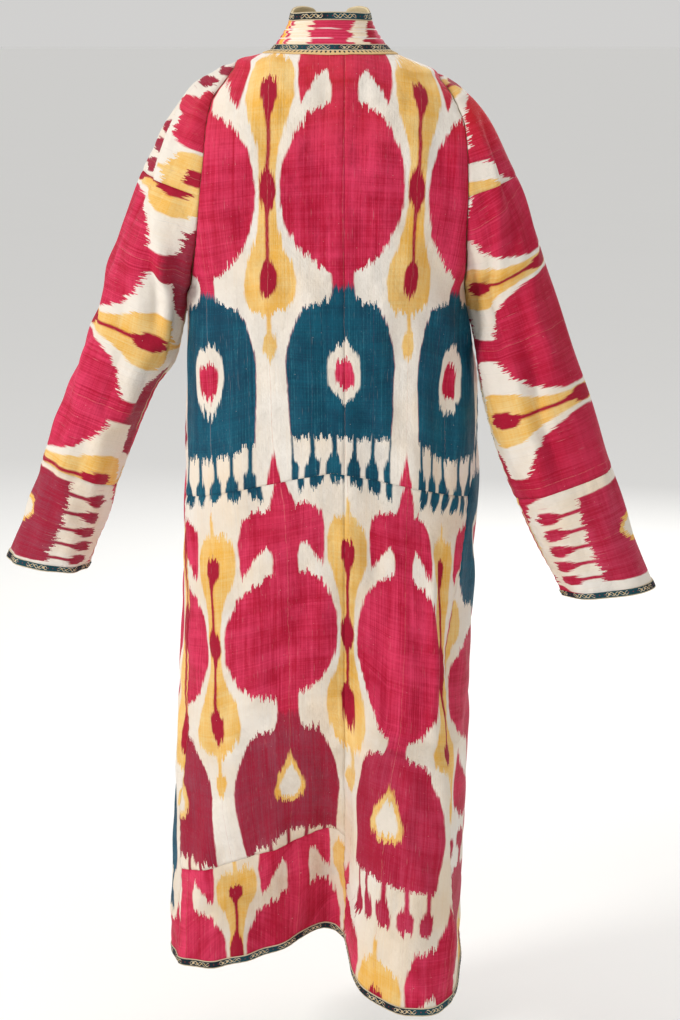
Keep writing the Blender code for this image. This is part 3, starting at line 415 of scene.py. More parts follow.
def angle_at(level, x, front):
    """The angle at which the row of this level is x off the middle."""
    row = edge_at(level)
    side = np.where(np.asarray(x) >= 0, 1, -1)
    width = side_width(row, side * (180.0 if front else 1.0))
    angle = np.degrees(np.arcsin(np.minimum(1.0, np.abs(x) / width) ** (row["round"] / 2)))
    return side * (180 - angle if front else angle)


def armhole_angle(level, side, front):
    """The angle of the armhole's edge, or of the side seam below the armpit."""
    row = edge_at(level)
    edge = row["front_edge" if front else "back_edge"]
    depth = row["front" if front else "back"]
    angle = np.degrees(np.arccos((edge / depth) ** (row["round"] / 2)))
    return side * (180 - angle if front else angle)


def limit_angle(level, side, front):
    """The angle at which the back or the front ends: at the armhole, then at the gusset."""
    word = ("left" if side > 0 else "right") + ("_front" if front else "_back")
    above = np.asarray(level) >= ARMPIT_LEVEL
    return np.where(above, armhole_angle(level, side, front), side * gusset_at(level)[word])


def neck_angle(level, side):
    """The angle of the front's inner edge: the neckline, then the opening."""
    shift = COLLAR_X * eased((level - FRONT_SHIFT_FADE) / (TOP_LEVEL - FRONT_SHIFT_FADE))
    return angle_at(level, side * front_edge_at(level)["x"] + shift, True)


def middle_angle(level):
    """The angle of the back's middle seam."""
    return angle_at(level, CENTRE_SEAM_X, False)


def sleeve_rows(side):
    """The sleeve's points at the rows of its table, from the front's edge round to the back's."""
    shares = np.linspace(-1, 1, SLEEVE_SHARES)
    back = shares >= 0
    facing = np.where(back, 1, -1)
    lines = []
    for number, values in enumerate(SLEEVES[side]):
        row = dict(zip(SLEEVE, values))
        out = np.array((side * row["out"], row["down"]))
        depth = np.where(back, row["back_depth"], row["front_depth"])
        limit = math.radians(row["turn"])
        inner = np.tile((side * row["in_out"], row["in_down"]), (SLEEVE_SHARES, 1)).astype(float)
        if number <= SLEEVE_ARMPIT_ROW:
            level = row["level"]
            sewn_back = body_point(level, armhole_angle(level, side, False))
            sewn_front = body_point(level, armhole_angle(level, side, True))
            sewn = np.where(back[:, None], sewn_back, sewn_front)
            inner = sewn[:, [0, 2]]
            if row["turn"] < WHOLE_RING:
                depth = np.abs(sewn[:, 1]) / math.sin(limit)
        span = np.linalg.norm(inner - out, axis=1)
        turn = np.abs(shares) * limit
        reach = span / (1 - math.cos(limit))
        flat = out + (inner - out) * (reach / span * (1 - np.cos(turn)))[:, None]
        y = depth * np.sin(turn) * facing + row["shift"] * (1 - row["pin"] * np.abs(shares))
        point = np.stack([flat[:, 0], y, flat[:, 1]], axis=-1)
        angle = np.degrees(turn) * facing
        lift = fold_lift(
            SLEEVE_FOLD, SLEEVE_FOLDS, "row_top", "row_foot", number, angle, SLEEVE_FOOT_FADE
        )
        middle = (out + inner) / 2
        swing = np.full(SLEEVE_SHARES, row["shift"])
        off = point - np.stack([middle[:, 0], swing, middle[:, 1]], axis=-1)
        lines.append(point + unit(off) * lift[:, None])
    return shares, np.array(lines)


COLLAR_LEVELS = np.array([row[0] for row in EDGE_ROWS[: COLLAR_END_ROW + 1]])


def place_level(length):
    """The level of a place on the collar, from 1 at the shoulder to 2 at its end."""
    at = (length - 1) * (len(COLLAR_LEVELS) - 1)
    return np.interp(at, np.arange(len(COLLAR_LEVELS)), COLLAR_LEVELS)


def collar_base(place):
    """The neckline seam, on the body's outer face: 0 is the back middle, 1 the shoulder, 2 the end."""
    side = np.where(place >= 0, 1, -1)
    length = np.abs(place)
    level = np.where(length <= 1, TOP_LEVEL, place_level(np.maximum(length, 1)))
    front = of_side(side, lambda hand: neck_angle(level, hand))
    return body_point(level, np.where(length <= 1, side * 90 * length, front))


def collar_point(place, share):
    """The outer face of the collar, from its seam at share 0 to its free edge at share 1."""
    place, share = np.broadcast_arrays(place, share)
    side = np.where(place >= 0, 1, -1)
    base = collar_base(place)
    free = free_edge_at(np.abs(place))
    shift = COLLAR_X * eased(2 - np.abs(place))
    edge = np.stack([side * free["x"] + shift, free["y"], free["z"]], axis=-1)
    point = base + (edge - base) * share[..., None]
    inward = np.array((COLLAR_X, 0.0, 0.0)) - point
    inward[..., 2] = 0
    standing = eased((STAND_PLACE - np.abs(place)) / STAND_FADE)
    return point + unit(inward) * (COLLAR_HOLLOW * standing * np.sin(math.pi * share))[..., None]


# ---- Creases --------------------------------------------------------------------------------
# On the body each runs between two places given as level and arc from the back's middle seam, which
# is above 0 to the wearer's left. Half is half its width, and height how far it stands out, or dips
# when it is below 0.
CREASE = ("down", "arc", "end_down", "end_arc", "half", "height")
BODY_CREASES = (
    (-0.010, -0.060, -0.070, -0.075, 0.009, 0.0016),
    (-0.008, -0.030, -0.060, -0.034, 0.008, 0.0012),
    (-0.008, 0.020, -0.070, 0.026, 0.009, -0.0014),
    (-0.012, 0.070, -0.085, 0.088, 0.010, 0.0018),
    (-0.060, 0.150, -0.250, 0.182, 0.012, 0.0026),
    (-0.060, -0.150, -0.300, -0.158, 0.013, 0.0030),
    (-0.110, -0.130, -0.340, -0.140, 0.012, -0.0022),
    (-0.180, 0.150, -0.420, 0.160, 0.014, -0.0020),
    (-0.300, 0.118, -0.500, 0.130, 0.012, 0.0014),
    (-0.330, -0.150, -0.560, -0.120, 0.012, -0.0022),
    (-0.345, -0.020, -0.345, -0.085, 0.007, -0.0010),
    (-0.420, 0.030, -0.640, 0.040, 0.016, 0.0018),
    (-0.540, 0.100, -0.780, 0.112, 0.015, 0.0020),
    (-0.560, 0.010, -0.830, 0.004, 0.013, -0.0018),
    (-0.560, -0.110, -0.860, -0.118, 0.008, 0.0050),
    (-0.570, -0.122, -0.880, -0.131, 0.007, -0.0052),
    (-0.660, -0.030, -0.900, -0.044, 0.013, 0.0020),
    (-0.700, 0.150, -0.960, 0.165, 0.016, -0.0024),
    (-0.770, 0.052, -1.060, 0.040, 0.014, 0.0022),
    (-0.820, 0.110, -1.120, 0.104, 0.015, -0.0020),
    (-0.900, -0.085, -1.150, -0.078, 0.014, 0.0022),
    (-0.880, 0.190, -1.160, 0.200, 0.012, 0.0024),
    (-0.700, -0.060, -0.712, -0.120, 0.006, 0.0011),
    (-0.752, -0.045, -0.760, -0.115, 0.006, -0.0012),
    (-0.790, -0.050, -0.806, -0.118, 0.007, 0.0012),
    (-0.300, 0.330, -0.520, 0.300, 0.016, 0.0030),
    (-0.540, 0.360, -0.900, 0.350, 0.020, -0.0032),
    (-0.760, 0.440, -1.150, 0.430, 0.018, 0.0030),
    (-0.200, 0.420, -0.500, 0.450, 0.018, -0.0026),
    (-0.300, -0.330, -0.560, -0.300, 0.016, 0.0028),
    (-0.520, -0.360, -0.880, -0.345, 0.020, -0.0030),
    (-0.760, -0.430, -1.150, -0.420, 0.018, 0.0030),
    (-0.220, -0.420, -0.520, -0.450, 0.018, -0.0024),
)

# On a sleeve the first is the length from the shoulder, below 0 as a level is, and the arc is from
# the outer line, above 0 to the back. The creases of the sleeves' fronts are the same on both.
SLEEVE_FRONT_CREASES = (
    (-0.100, -0.060, -0.330, -0.110, 0.012, 0.0026),
    (-0.240, -0.050, -0.480, -0.080, 0.012, -0.0026),
    (-0.420, -0.110, -0.620, -0.090, 0.012, 0.0022),
)
SLEEVE_CREASES = {
    1: (
        (-0.060, 0.060, -0.300, 0.110, 0.010, 0.0028),
        (-0.100, 0.030, -0.330, 0.060, 0.010, -0.0022),
        (-0.180, 0.085, -0.400, 0.130, 0.009, -0.0036),
        (-0.220, 0.115, -0.430, 0.150, 0.010, 0.0034),
        (-0.300, 0.020, -0.420, 0.052, 0.009, 0.0016),
        (-0.400, 0.070, -0.520, 0.100, 0.010, -0.0018),
        (-0.500, 0.020, -0.640, 0.030, 0.012, 0.0014),
        (-0.520, 0.080, -0.650, 0.088, 0.011, -0.0016),
        *SLEEVE_FRONT_CREASES,
    ),
    -1: (
        (-0.060, 0.050, -0.280, 0.080, 0.009, -0.0028),
        (-0.080, 0.075, -0.300, 0.105, 0.009, 0.0030),
        (-0.130, 0.020, -0.300, 0.045, 0.009, 0.0022),
        (-0.180, 0.100, -0.380, 0.130, 0.010, -0.0034),
        (-0.260, 0.050, -0.430, 0.070, 0.009, 0.0024),
        (-0.330, 0.085, -0.560, 0.098, 0.009, -0.0030),
        (-0.350, 0.110, -0.600, 0.118, 0.010, 0.0030),
        (-0.480, 0.030, -0.640, 0.040, 0.011, 0.0016),
        *SLEEVE_FRONT_CREASES,
    ),
}


# ---- Where the ikat lies --------------------------------------------------------------------
# The cloth's own places: across the loom, with a red column or a yellow one every HALF_PITCH, and
# along the warp, with a row of motifs every ROW_LENGTH and every second row moved by HALF_PITCH.
HALF_PITCH = 0.089
ROW_LENGTH = 0.579

# Arcs from the back's middle seam at which the columns hang, level by level.
UPPER_COLUMNS = (0.178, 0.089, 0.0, -0.089, -0.178)
UPPER_LINES = (
    (0.012, 0.180, 0.094, 0.000, -0.098, -0.184),
    (-0.050, 0.188, 0.0944, 0.000, -0.095, -0.184),
    (-0.170, 0.188, 0.0955, 0.003, -0.089, -0.178),
    (-0.290, 0.182, 0.0960, 0.001, -0.082, -0.156),
    (-0.397, 0.1755, 0.0950, -0.001, -0.080, -0.136),
    (-0.540, 0.178, 0.0900, 0.000, -0.080, -0.134),
)
LOWER_COLUMNS = (0.267, 0.178, 0.089, 0.0, -0.066, -0.089, -0.160, -0.178, -0.267)
LOWER_LINES = (
    (-0.510, 0.255, 0.1780, 0.0860, -0.0040, -0.0640, -0.0840, -0.136, -0.146, -0.200),
    (-0.560, 0.255, 0.1775, 0.0763, -0.0040, -0.0600, -0.0800, -0.122, -0.128, -0.185),
    (-0.630, 0.257, 0.1769, 0.0730, -0.0040, -0.0590, -0.0785, -0.120, -0.127, -0.180),
    (-0.733, 0.258, 0.1735, 0.0710, -0.0037, -0.0570, -0.0770, -0.122, -0.132, -0.195),
    (-0.839, 0.255, 0.1707, 0.0710, -0.0044, -0.0520, -0.0720, -0.127, -0.137, -0.215),
    (-0.900, 0.248, 0.1660, 0.0700, -0.0091, -0.0360, -0.0600, -0.131, -0.142, -0.220),
    (-0.961, 0.243, 0.1600, 0.0685, -0.0100, -0.0290, -0.0520, -0.134, -0.147, -0.230),
    (-1.040, 0.235, 0.1460, 0.0710, -0.0080, -0.0270, -0.0460, -0.127, -0.150, -0.235),
    (-1.075, 0.232, 0.1450, 0.0720, -0.0060, -0.0290, -0.0440, -0.125, -0.150, -0.235),
    (-1.105, 0.232, 0.1450, 0.0720, 0.0060, -0.0260, -0.0380, -0.125, -0.146, -0.235),
    (-1.180, 0.232, 0.1450, 0.0720, 0.0180, -0.0220, -0.0354, -0.122, -0.142, -0.235),
)
HEM_PIECE_COLUMNS = (0.267, 0.178, 0.089, 0.0)
HEM_PIECE_LINES = (
    (-1.030, 0.2250, 0.1460, 0.0620, -0.0070),
    (-1.090, 0.2250, 0.1440, 0.0592, -0.0070),
    (-1.180, 0.2250, 0.1454, 0.0640, -0.0070),
)

# How far along the warp each column has come at a level, column by column as above.
RED_UPPER = (
    (0.012, -0.165), (0.000, -0.148), (-0.050, -0.092), (-0.246, 0.094), (-0.295, 0.146), (-0.477, 0.316),
    (-0.539, 0.373),
)
RED_UPPER_SIDE = (
    (0.012, -0.185), (-0.068, -0.095), (-0.265, 0.094), (-0.305, 0.146), (-0.487, 0.316), (-0.550, 0.373),
)
YELLOW_UPPER = (
    (0.012, -0.172), (-0.038, -0.119), (-0.155, 0.002), (-0.266, 0.116), (-0.307, 0.156), (-0.366, 0.223),
    (-0.550, 0.380),
)
UPPER_WARPS = (RED_UPPER_SIDE, YELLOW_UPPER, RED_UPPER, YELLOW_UPPER, RED_UPPER_SIDE)
RED_LOWER_LEFT = (
    (-0.500, -0.262), (-0.652, -0.092), (-0.800, 0.094), (-0.858, 0.152), (-1.006, 0.316), (-1.180, 0.460),
)
YELLOW_LOWER_LEFT = (
    (-0.500, -0.245), (-0.630, -0.119), (-0.733, 0.002), (-0.839, 0.116), (-0.878, 0.156), (-0.935, 0.223),
    (-1.180, 0.430),
)
YELLOW_LOWER_MIDDLE = (
    (-0.500, -0.245), (-0.630, -0.119), (-0.733, 0.002), (-0.820, 0.116), (-0.890, 0.156), (-0.945, 0.223),
    (-1.180, 0.450),
)
RED_LOWER_RIGHT = (
    (-0.500, -0.268), (-0.652, -0.092), (-0.847, 0.094), (-0.876, 0.146), (-1.030, 0.316), (-1.075, 0.365),
    (-1.092, 0.383), (-1.155, 0.439), (-1.180, 0.462),
)
LOWER_WARPS = (RED_LOWER_LEFT, YELLOW_LOWER_LEFT, RED_LOWER_LEFT, YELLOW_LOWER_MIDDLE)
LOWER_WARPS += (RED_LOWER_RIGHT,) * 5
RED_HEM = ((-1.020, -0.150), (-1.050, -0.131), (-1.120, -0.092), (-1.180, -0.055))
YELLOW_HEM = (
    (-1.020, -0.190), (-1.047, -0.165), (-1.080, -0.112), (-1.099, -0.070), (-1.130, -0.030), (-1.155, 0.000),
    (-1.180, 0.026),
)
HEM_PIECE_WARPS = (RED_HEM, YELLOW_HEM, RED_HEM, YELLOW_HEM)
RIGHT_SIDE_WARP = (
    (-0.42, 0.400), (-0.53, 0.290), (-0.672, 0.146), (-0.71, 0.094), (-0.78, 0.0), (-0.85, -0.092),
    (-0.92, -0.150), (-1.18, -0.480),
)
LEFT_SIDE_WARP = ((-0.42, -0.260), (-0.700, 0.0), (-0.860, 0.120), (-1.040, 0.316), (-1.180, 0.450))

# The arc at which a red column hangs down each gusset, and how the one length of each front lies.
SIDE_AXES = {1: 0.148, -1: 0.223}
FRONT_AXIS = 0.125
FRONT_START = 0.165

# Down each strip of a sleeve: pairs of a share of its length and the place across the cloth, then the
# place along the warp at the outer line, then how much the motifs slant behind it.
SLEEVE_MARKS = {
    (1, "upper"): (((0.0, -0.084), (1.0, 0.108)), ROW_LENGTH + 0.324, 0.0),
    (1, "middle"): (((0.0, 0.000), (1.0, 0.360)), ROW_LENGTH, 0.0),
    (1, "cuff"): (((0.0, 0.014), (1.0, 0.172)), ROW_LENGTH + 0.230, 0.0),
    (-1, "upper"): (((0.0, -0.021), (0.760, 0.089), (0.775, 0.128), (1.0, 0.160)), ROW_LENGTH, 0.0),
    (-1, "middle"): (((0.0, -0.094), (1.0, 0.280)), ROW_LENGTH - 0.027, 0.30),
    (-1, "cuff"): (((0.0, 0.006), (1.0, 0.184)), ROW_LENGTH + 0.230, 0.0),
}
SLANT_END = 0.65
SLANT_ARC = 0.12


# ---- How the shells are laid out ------------------------------------------------------------
CELL = 0.0042
SEAM_DIP = 0.0010
SEAM_HALF = 0.0032
SEAM_FADE = 0.020
MIDDLE_SEAM_FADE = 0.010
PUCKER = 0.00040
PUCKER_PITCH = 0.015
PUCKER_HALF = 0.010
PUCKER_SWAY = 2.1
PUCKER_SWAYS = 31
CREASE_GAIN = 1.3
SLEEVE_CREASE_GAIN = 1.6
CREASE_SWAY = 0.35
CREASE_SWAYS = 47
CREASE_SHIFT = 90
WAVES = 16
WAVE_TURN = 0.6
WAVE_PITCH = (45, 170)
WAVE_PHASE = 6.28
WAVE_BEND = (4, 14)
WAVE_SIZE = (0.00030, 0.00075)
WAVE_SWAY = 1.4
BODY_SEED = 11
SLEEVE_SEED = 21
COLLAR_SEED = 31
FINE_TURNS = np.arange(-192.0, 192.5, 1.0)
FINE_LEVELS = np.linspace(TOP_LEVEL, HEM_LEVEL, 400)
JUST_INSIDE = 1.001
LEVEL_STEP = 0.0006
TURN_STEP = 0.4
ROW_SAMPLES = 501
PANEL_TURNS = 73


def lengths_along(points, axis):
    """How far each point of a grid is along its row or column."""
    step = np.linalg.norm(np.diff(points, axis=axis), axis=-1)
    start = np.zeros_like(np.take(step, [0], axis=axis))
    return np.concatenate([start, np.cumsum(step, axis=axis)], axis=axis)


def table_of_arcs():
    x, y = plain_point(FINE_LEVELS[:, None], FINE_TURNS[None, :])[1:]
    run = lengths_along(np.stack([x, y], axis=-1), 1)
    start = np.array([np.interp(m, FINE_TURNS, r) for m, r in zip(middle_angle(FINE_LEVELS), run)])
    return run - start[:, None]


ARCS = table_of_arcs()


def arc_at(level, angle):
    """Arc along the plain row from the back's middle seam, above 0 to the wearer's left."""
    level, angle = np.broadcast_arrays(np.asarray(level, float), np.asarray(angle, float))
    down = (FINE_LEVELS[0] - level) / (FINE_LEVELS[0] - FINE_LEVELS[-1]) * (len(FINE_LEVELS) - 1)
    down = np.clip(down, 0, len(FINE_LEVELS) - JUST_INSIDE)
    turn = np.clip(angle - FINE_TURNS[0], 0, len(FINE_TURNS) - JUST_INSIDE)
    i = down.astype(int)
    j = turn.astype(int)
    a = down - i
    b = turn - j
    above = ARCS[i, j] * (1 - b) + ARCS[i, j + 1] * b
    below = ARCS[i + 1, j] * (1 - b) + ARCS[i + 1, j + 1] * b
    return above * (1 - a) + below * a


def crease_lift(table, down, arc):
    """How far the creases in a table lift the cloth, each wandering a little off its line."""
    lift = np.zeros_like(arc)
    for row in table:
        crease = dict(zip(CREASE, row))
        run = np.array((crease["end_down"] - crease["down"], crease["end_arc"] - crease["arc"]))
        length = np.linalg.norm(run)
        run /= length
        along = (down - crease["down"]) * run[0] + (arc - crease["arc"]) * run[1]
        off = (arc - crease["arc"]) * run[0] - (down - crease["down"]) * run[1]
        sway = np.sin(along * CREASE_SWAYS + crease["arc"] * CREASE_SHIFT)
        off = off + CREASE_SWAY * crease["half"] * sway
        strength = eased(along / length * ENDS_FADE) * eased((1 - along / length) * ENDS_FADE)
        lift += CREASE_GAIN * crease["height"] * strength * bell(off, crease["half"])
    return lift


def soft_waves(down, arc, seed):
    """Small uneven swells of handled cloth."""
    waves = np.random.default_rng(seed)
    lift = np.zeros_like(arc)
    for _ in range(WAVES):
        turn = waves.uniform(-WAVE_TURN, WAVE_TURN)
        pitch = waves.uniform(*WAVE_PITCH)
        phase = waves.uniform(0, WAVE_PHASE)
        bend = waves.uniform(*WAVE_BEND)
        size = waves.uniform(*WAVE_SIZE)
        across = arc * math.cos(turn) + down * math.sin(turn)
        lift += size * np.sin(across * pitch + WAVE_SWAY * np.sin(down * bend + phase) + phase)
    return lift


def seam_lift(distance, along):
    """The dip of a sewn seam, and the puckers that run off it."""
    sway = PUCKER_SWAY * np.sin(along * PUCKER_SWAYS)
    pucker = PUCKER * np.sin(along * 2 * math.pi / PUCKER_PITCH + sway)
    return pucker * bell(distance, PUCKER_HALF) - SEAM_DIP * bell(distance, SEAM_HALF)


def body_lift(level, angle):
    """How far the body's cloth stands off its plain form, with its creases and seams."""
    level, angle = np.broadcast_arrays(level, angle)
    arc = arc_at(level, angle)
    side = np.where(angle >= 0, 1, -1)
    back_end = arc_at(level, of_side(side, lambda hand: limit_angle(level, hand, False)))
    front_end = arc_at(level, of_side(side, lambda hand: limit_angle(level, hand, True)))
    beside = np.minimum(np.abs(arc - back_end), np.abs(arc - front_end))
    opening = np.abs(arc - arc_at(level, of_side(side, lambda hand: neck_angle(level, hand))))
    fade = eased((TOP_LEVEL - level) / SEAM_FADE)
    fade = fade * eased(opening / SEAM_FADE + (np.abs(angle) < 90))
    lift = crease_lift(BODY_CREASES, level, arc) + soft_waves(level, arc, BODY_SEED)
    lift = lift * fade * np.where(level > ARMPIT_LEVEL, eased(beside / SEAM_FADE), 1.0)
    lift = lift + seam_lift(beside, level)
    on_back = np.abs(arc) <= np.abs(back_end)
    lift = lift + on_back * seam_lift(arc, level) * eased((TOP_LEVEL - level) / MIDDLE_SEAM_FADE)
    lift = lift + on_back * seam_lift(level - WAIST_LEVEL, arc)
    return lift + on_back * (arc > 0) * seam_lift(level - HEM_PIECE_LEVEL, arc)


def body_normals(level, angle):
    level = np.clip(level, HEM_LEVEL + LEVEL_STEP, TOP_LEVEL - LEVEL_STEP)
    along = body_point(level + LEVEL_STEP, angle) - body_point(level - LEVEL_STEP, angle)
    across = body_point(level, angle + TURN_STEP) - body_point(level, angle - TURN_STEP)
    return unit(np.cross(along, across))


def fine_rows(points_at, stops):
    """Rows between the stops, no more than a cell apart."""
    found = [stops[0]]
    for here, there in zip(stops, stops[1:]):
        gap = np.linalg.norm(points_at(here) - points_at(there), axis=-1).max()
        found += list(np.linspace(here, there, max(1, math.ceil(gap / CELL)) + 1)[1:])
    return np.array(found)


def even_angles(levels, start, end):
    """Angles evenly spaced along each real row from its start to its end."""
    turns = start[:, None] + (end - start)[:, None] * np.linspace(0, 1, ROW_SAMPLES)
    run = lengths_along(body_point(levels[:, None], turns), 1)
    columns = math.ceil(run[:, -1].max() / CELL)
    even = np.linspace(0, 1, columns + 1)
    return np.array([np.interp(even * r[-1], r, t) for r, t in zip(run, turns)])


# ---- The cloth's own places on each panel ---------------------------------------------------
def along_warp(level, warp):
    """How far along the warp a column has come; past its table it goes on level for level."""
    marks = np.array(warp)
    inside = np.interp(-level, -marks[:, 0], marks[:, 1])
    return inside + max(marks[-1, 0] - level, 0) - max(level - marks[0, 0], 0)


def back_marks(columns, lines, warps, start):
    """How to place the cloth on a panel of the back, between the columns that hang down it."""
    order = np.argsort(columns)
    places = np.array(columns)[order]
    levels_known = -np.array(lines)[:, 0]
    hangs = np.array(lines)[:, 1:].T[order]

    def marks(levels, arc):
        across = np.zeros_like(arc)
        along = np.zeros_like(arc)
        for i, level in enumerate(levels):
            hung = np.array([np.interp(-level, levels_known, hang) for hang in hangs])
            come = np.array([along_warp(level, warps[k]) for k in order])
            spread = np.interp(arc[i], hung, places)
            past = np.minimum(arc[i] - hung[0], 0) + np.maximum(arc[i] - hung[-1], 0)
            across[i] = spread + past
            along[i] = np.interp(spread, places, come) + start
        return np.stack([across, along], axis=-1)

    return marks


def side_marks(warp, axis):
    """How to place the cloth on a side gusset, by level and by arc from its red column."""
    table = np.array(warp)

    def marks(levels, arc):
        along = np.interp(-levels, -table[:, 0], table[:, 1])
        return np.stack(np.broadcast_arrays(np.abs(arc) - axis, along[:, None]), axis=-1)

    return marks


def front_marks(levels, arc):
    """Places on the fronts, which run from shoulder to hem in one length."""
    round_to = arc_at(levels[:, None], np.where(arc >= 0, 180.0, -180.0))
    across = np.abs(round_to) - np.abs(arc) - FRONT_AXIS
    return np.stack(np.broadcast_arrays(across, -levels[:, None] - FRONT_START), axis=-1)


def sleeve_marks(side, part, down, arc):
    """Places on a sleeve's strip: the warp runs round it and the loom's width down it."""
    stops, along, slant = SLEEVE_MARKS[side, part]
    share = (down - down[0, 0]) / (down[-1, 0] - down[0, 0])
    across = np.interp(share, [stop[0] for stop in stops], [stop[1] for stop in stops])
    across = across - slant * eased(1 - share / SLANT_END) * np.clip(arc, 0, SLANT_ARC)
    return np.stack([across, along + arc], axis=-1)


# ---- Closed shells --------------------------------------------------------------------------
def add_shell(name, outer, inner, marks, materials):
    """A closed shell of a grid's outer and inner points, with its places on the cloth as its map."""
    rows, columns = outer.shape[:2]
    count = rows * columns
    index = np.arange(count).reshape(rows, columns)
    corners = [index[:-1, :-1], index[:-1, 1:], index[1:, 1:], index[1:, :-1]]
    faces = np.stack(corners, axis=-1).reshape(-1, 4)
    ring = np.concatenate([index[0, :-1], index[:-1, -1], index[-1, :0:-1], index[:0:-1, 0]])
    i, j = rows // 2, columns // 2
    turned = np.cross(outer[i, j + 1] - outer[i, j], outer[i + 1, j] - outer[i, j])
    if np.dot(turned, outer[i, j] - inner[i, j]) < 0:
        faces = faces[:, ::-1]
        ring = ring[::-1]
    after = np.roll(ring, -1)
    rim = np.stack([after, ring, ring + count, after + count], axis=1)
    polygons = np.concatenate([faces, faces[:, ::-1] + count, rim])
    kinds = np.repeat([0, 1, 1], [len(faces), len(faces), len(rim)]).astype(np.int32)
    mesh = bpy.data.meshes.new(f"{name}_sewn")
    points = np.concatenate([outer.reshape(-1, 3), inner.reshape(-1, 3)])
    mesh.from_pydata(points.tolist(), [], polygons.tolist())
    for material in materials:
        mesh.materials.append(material)
    mesh.polygons.foreach_set("material_index", kinds)
    mesh.polygons.foreach_set("use_smooth", np.ones(len(polygons), bool))
    layer = mesh.uv_layers.new(name="cloth")
    flat = np.tile(marks.reshape(-1, 2), (2, 1))
    layer.data.foreach_set("uv", flat[polygons.ravel()].astype(np.float32).ravel())
    mesh.update()
    piece = bpy.data.objects.new(f"{name}_sewn", mesh)
    bpy.context.scene.collection.objects.link(piece)
    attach(piece, "root")
    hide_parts(name)
    return piece


def declare_sheet(outer):
    """Works out the two diagonals of each cell of a piece's outer face, and does nothing more with them."""
    a = outer[1:, 1:] - outer[:-1, :-1]
    b = outer[1:, :-1] - outer[:-1, 1:]


def add_panel(name, first, last, start_at, end_at, marks_at, materials):
    """A panel of the body between two rows of the table and two edges."""
    stops = [row[0] for row in EDGE_ROWS[first : last + 1]]
    turns = np.linspace(-180, 180, PANEL_TURNS)
    levels = fine_rows(lambda level: body_point(level, turns), stops)
    angles = even_angles(levels, start_at(levels), end_at(levels))
    level = np.broadcast_to(levels[:, None], angles.shape)
    normals = body_normals(level, angles)
    outer = body_point(level, angles) + normals * body_lift(level, angles)[..., None]
    marks = marks_at(levels, arc_at(level, angles))
    piece = add_shell(name, outer, outer - normals * WALL, marks, materials)
    declare_sheet(outer)


# ---- Sleeves --------------------------------------------------------------------------------
INNER_SEAM_EASE = 0.4
PULL_POWER = 3
PROBE_ROW = -20
ROW_SLACK = 1e-9


def sleeve_grid(side):
    """The sleeve's fine rows, its points, and its outward normals."""
    shares, coarse = sleeve_rows(side)
    numbers = np.arange(len(coarse))
    table = np.concatenate([numbers[:, None], coarse.reshape(len(coarse), -1)], axis=1)
    read = smooth_table(tuple(range(table.shape[1])), table, 0)

    def points_at(rows):
        found = read(rows)
        flat = np.stack([found[k] for k in range(1, table.shape[1])], axis=-1)
        return flat.reshape(flat.shape[:-1] + (len(shares), 3))

    rows = fine_rows(points_at, list(numbers.astype(float)))
    points = points_at(rows)
    levels = np.array([row[SLEEVE.index("level")] for row in SLEEVES[side]])
    cap = rows <= SLEEVE_ARMPIT_ROW
    level = np.interp(rows[cap], numbers, levels)

    # The cap's two edges are drawn onto the armhole, and the pull dies out towards the outer line.
    for column, front, near in ((-1, False, shares > 0), (0, True, shares < 0)):
        miss = body_point(level, armhole_angle(level, side, front)) - points[cap, column]
        points[cap] += miss[:, None, :] * (near * np.abs(shares) ** PULL_POWER)[None, :, None]
    seam = (points[~cap, 0] + points[~cap, -1]) / 2
    points[~cap, 0] = seam
    points[~cap, -1] = seam
    out = (len(shares) - 1) // 2
    for i, run in enumerate(lengths_along(points, 1)):
        front_half = np.linspace(0, run[out], out + 1)
        even = np.concatenate([front_half, np.linspace(run[out], run[-1], out + 1)[1:]])
        points[i] = np.stack([np.interp(even, run, points[i, :, k]) for k in range(3)], axis=-1)
    around = np.gradient(points, axis=1)
    around[~cap, 0] = around[~cap, -1] = (points[~cap, 1] - points[~cap, -2]) / 2
    normals = unit(np.cross(np.gradient(points, axis=0), around))
    if side * normals[PROBE_ROW, out, 0] < 0:
        normals = -normals
    return rows, points, normals


def sleeve_places(points):
    """Length from the shoulder along the outer line, and arc from that line, above 0 to the back."""
    out = (points.shape[1] - 1) // 2
    down = lengths_along(points[:, out : out + 1], 0)[:, 0]
    arc = lengths_along(points, 1)
    arc = arc - arc[:, out : out + 1]
    return np.broadcast_to(down[:, None], arc.shape), arc


def sleeve_lift(side, rows, down, arc):
    """How far the sleeve's cloth stands off its plain form, with its creases and seams."""
    lift = SLEEVE_CREASE_GAIN * crease_lift(SLEEVE_CREASES[side], -down, arc)
    lift = lift + soft_waves(-down, arc, SLEEVE_SEED + side)
    edge = np.minimum(arc - arc[:, :1], arc[:, -1:] - arc)
    cap = (rows <= SLEEVE_ARMPIT_ROW)[:, None]
    lift = lift * np.where(cap, eased(edge / SEAM_FADE), eased(INNER_SEAM_EASE + edge / SEAM_FADE))
    lift = lift + seam_lift(edge, down)
    for row in SLEEVE_SEAM_ROWS:
        seam = np.interp(row, rows, down[:, 0])
        lift = lift + seam_lift(down - seam, arc)
    return lift * eased(down / SEAM_FADE)


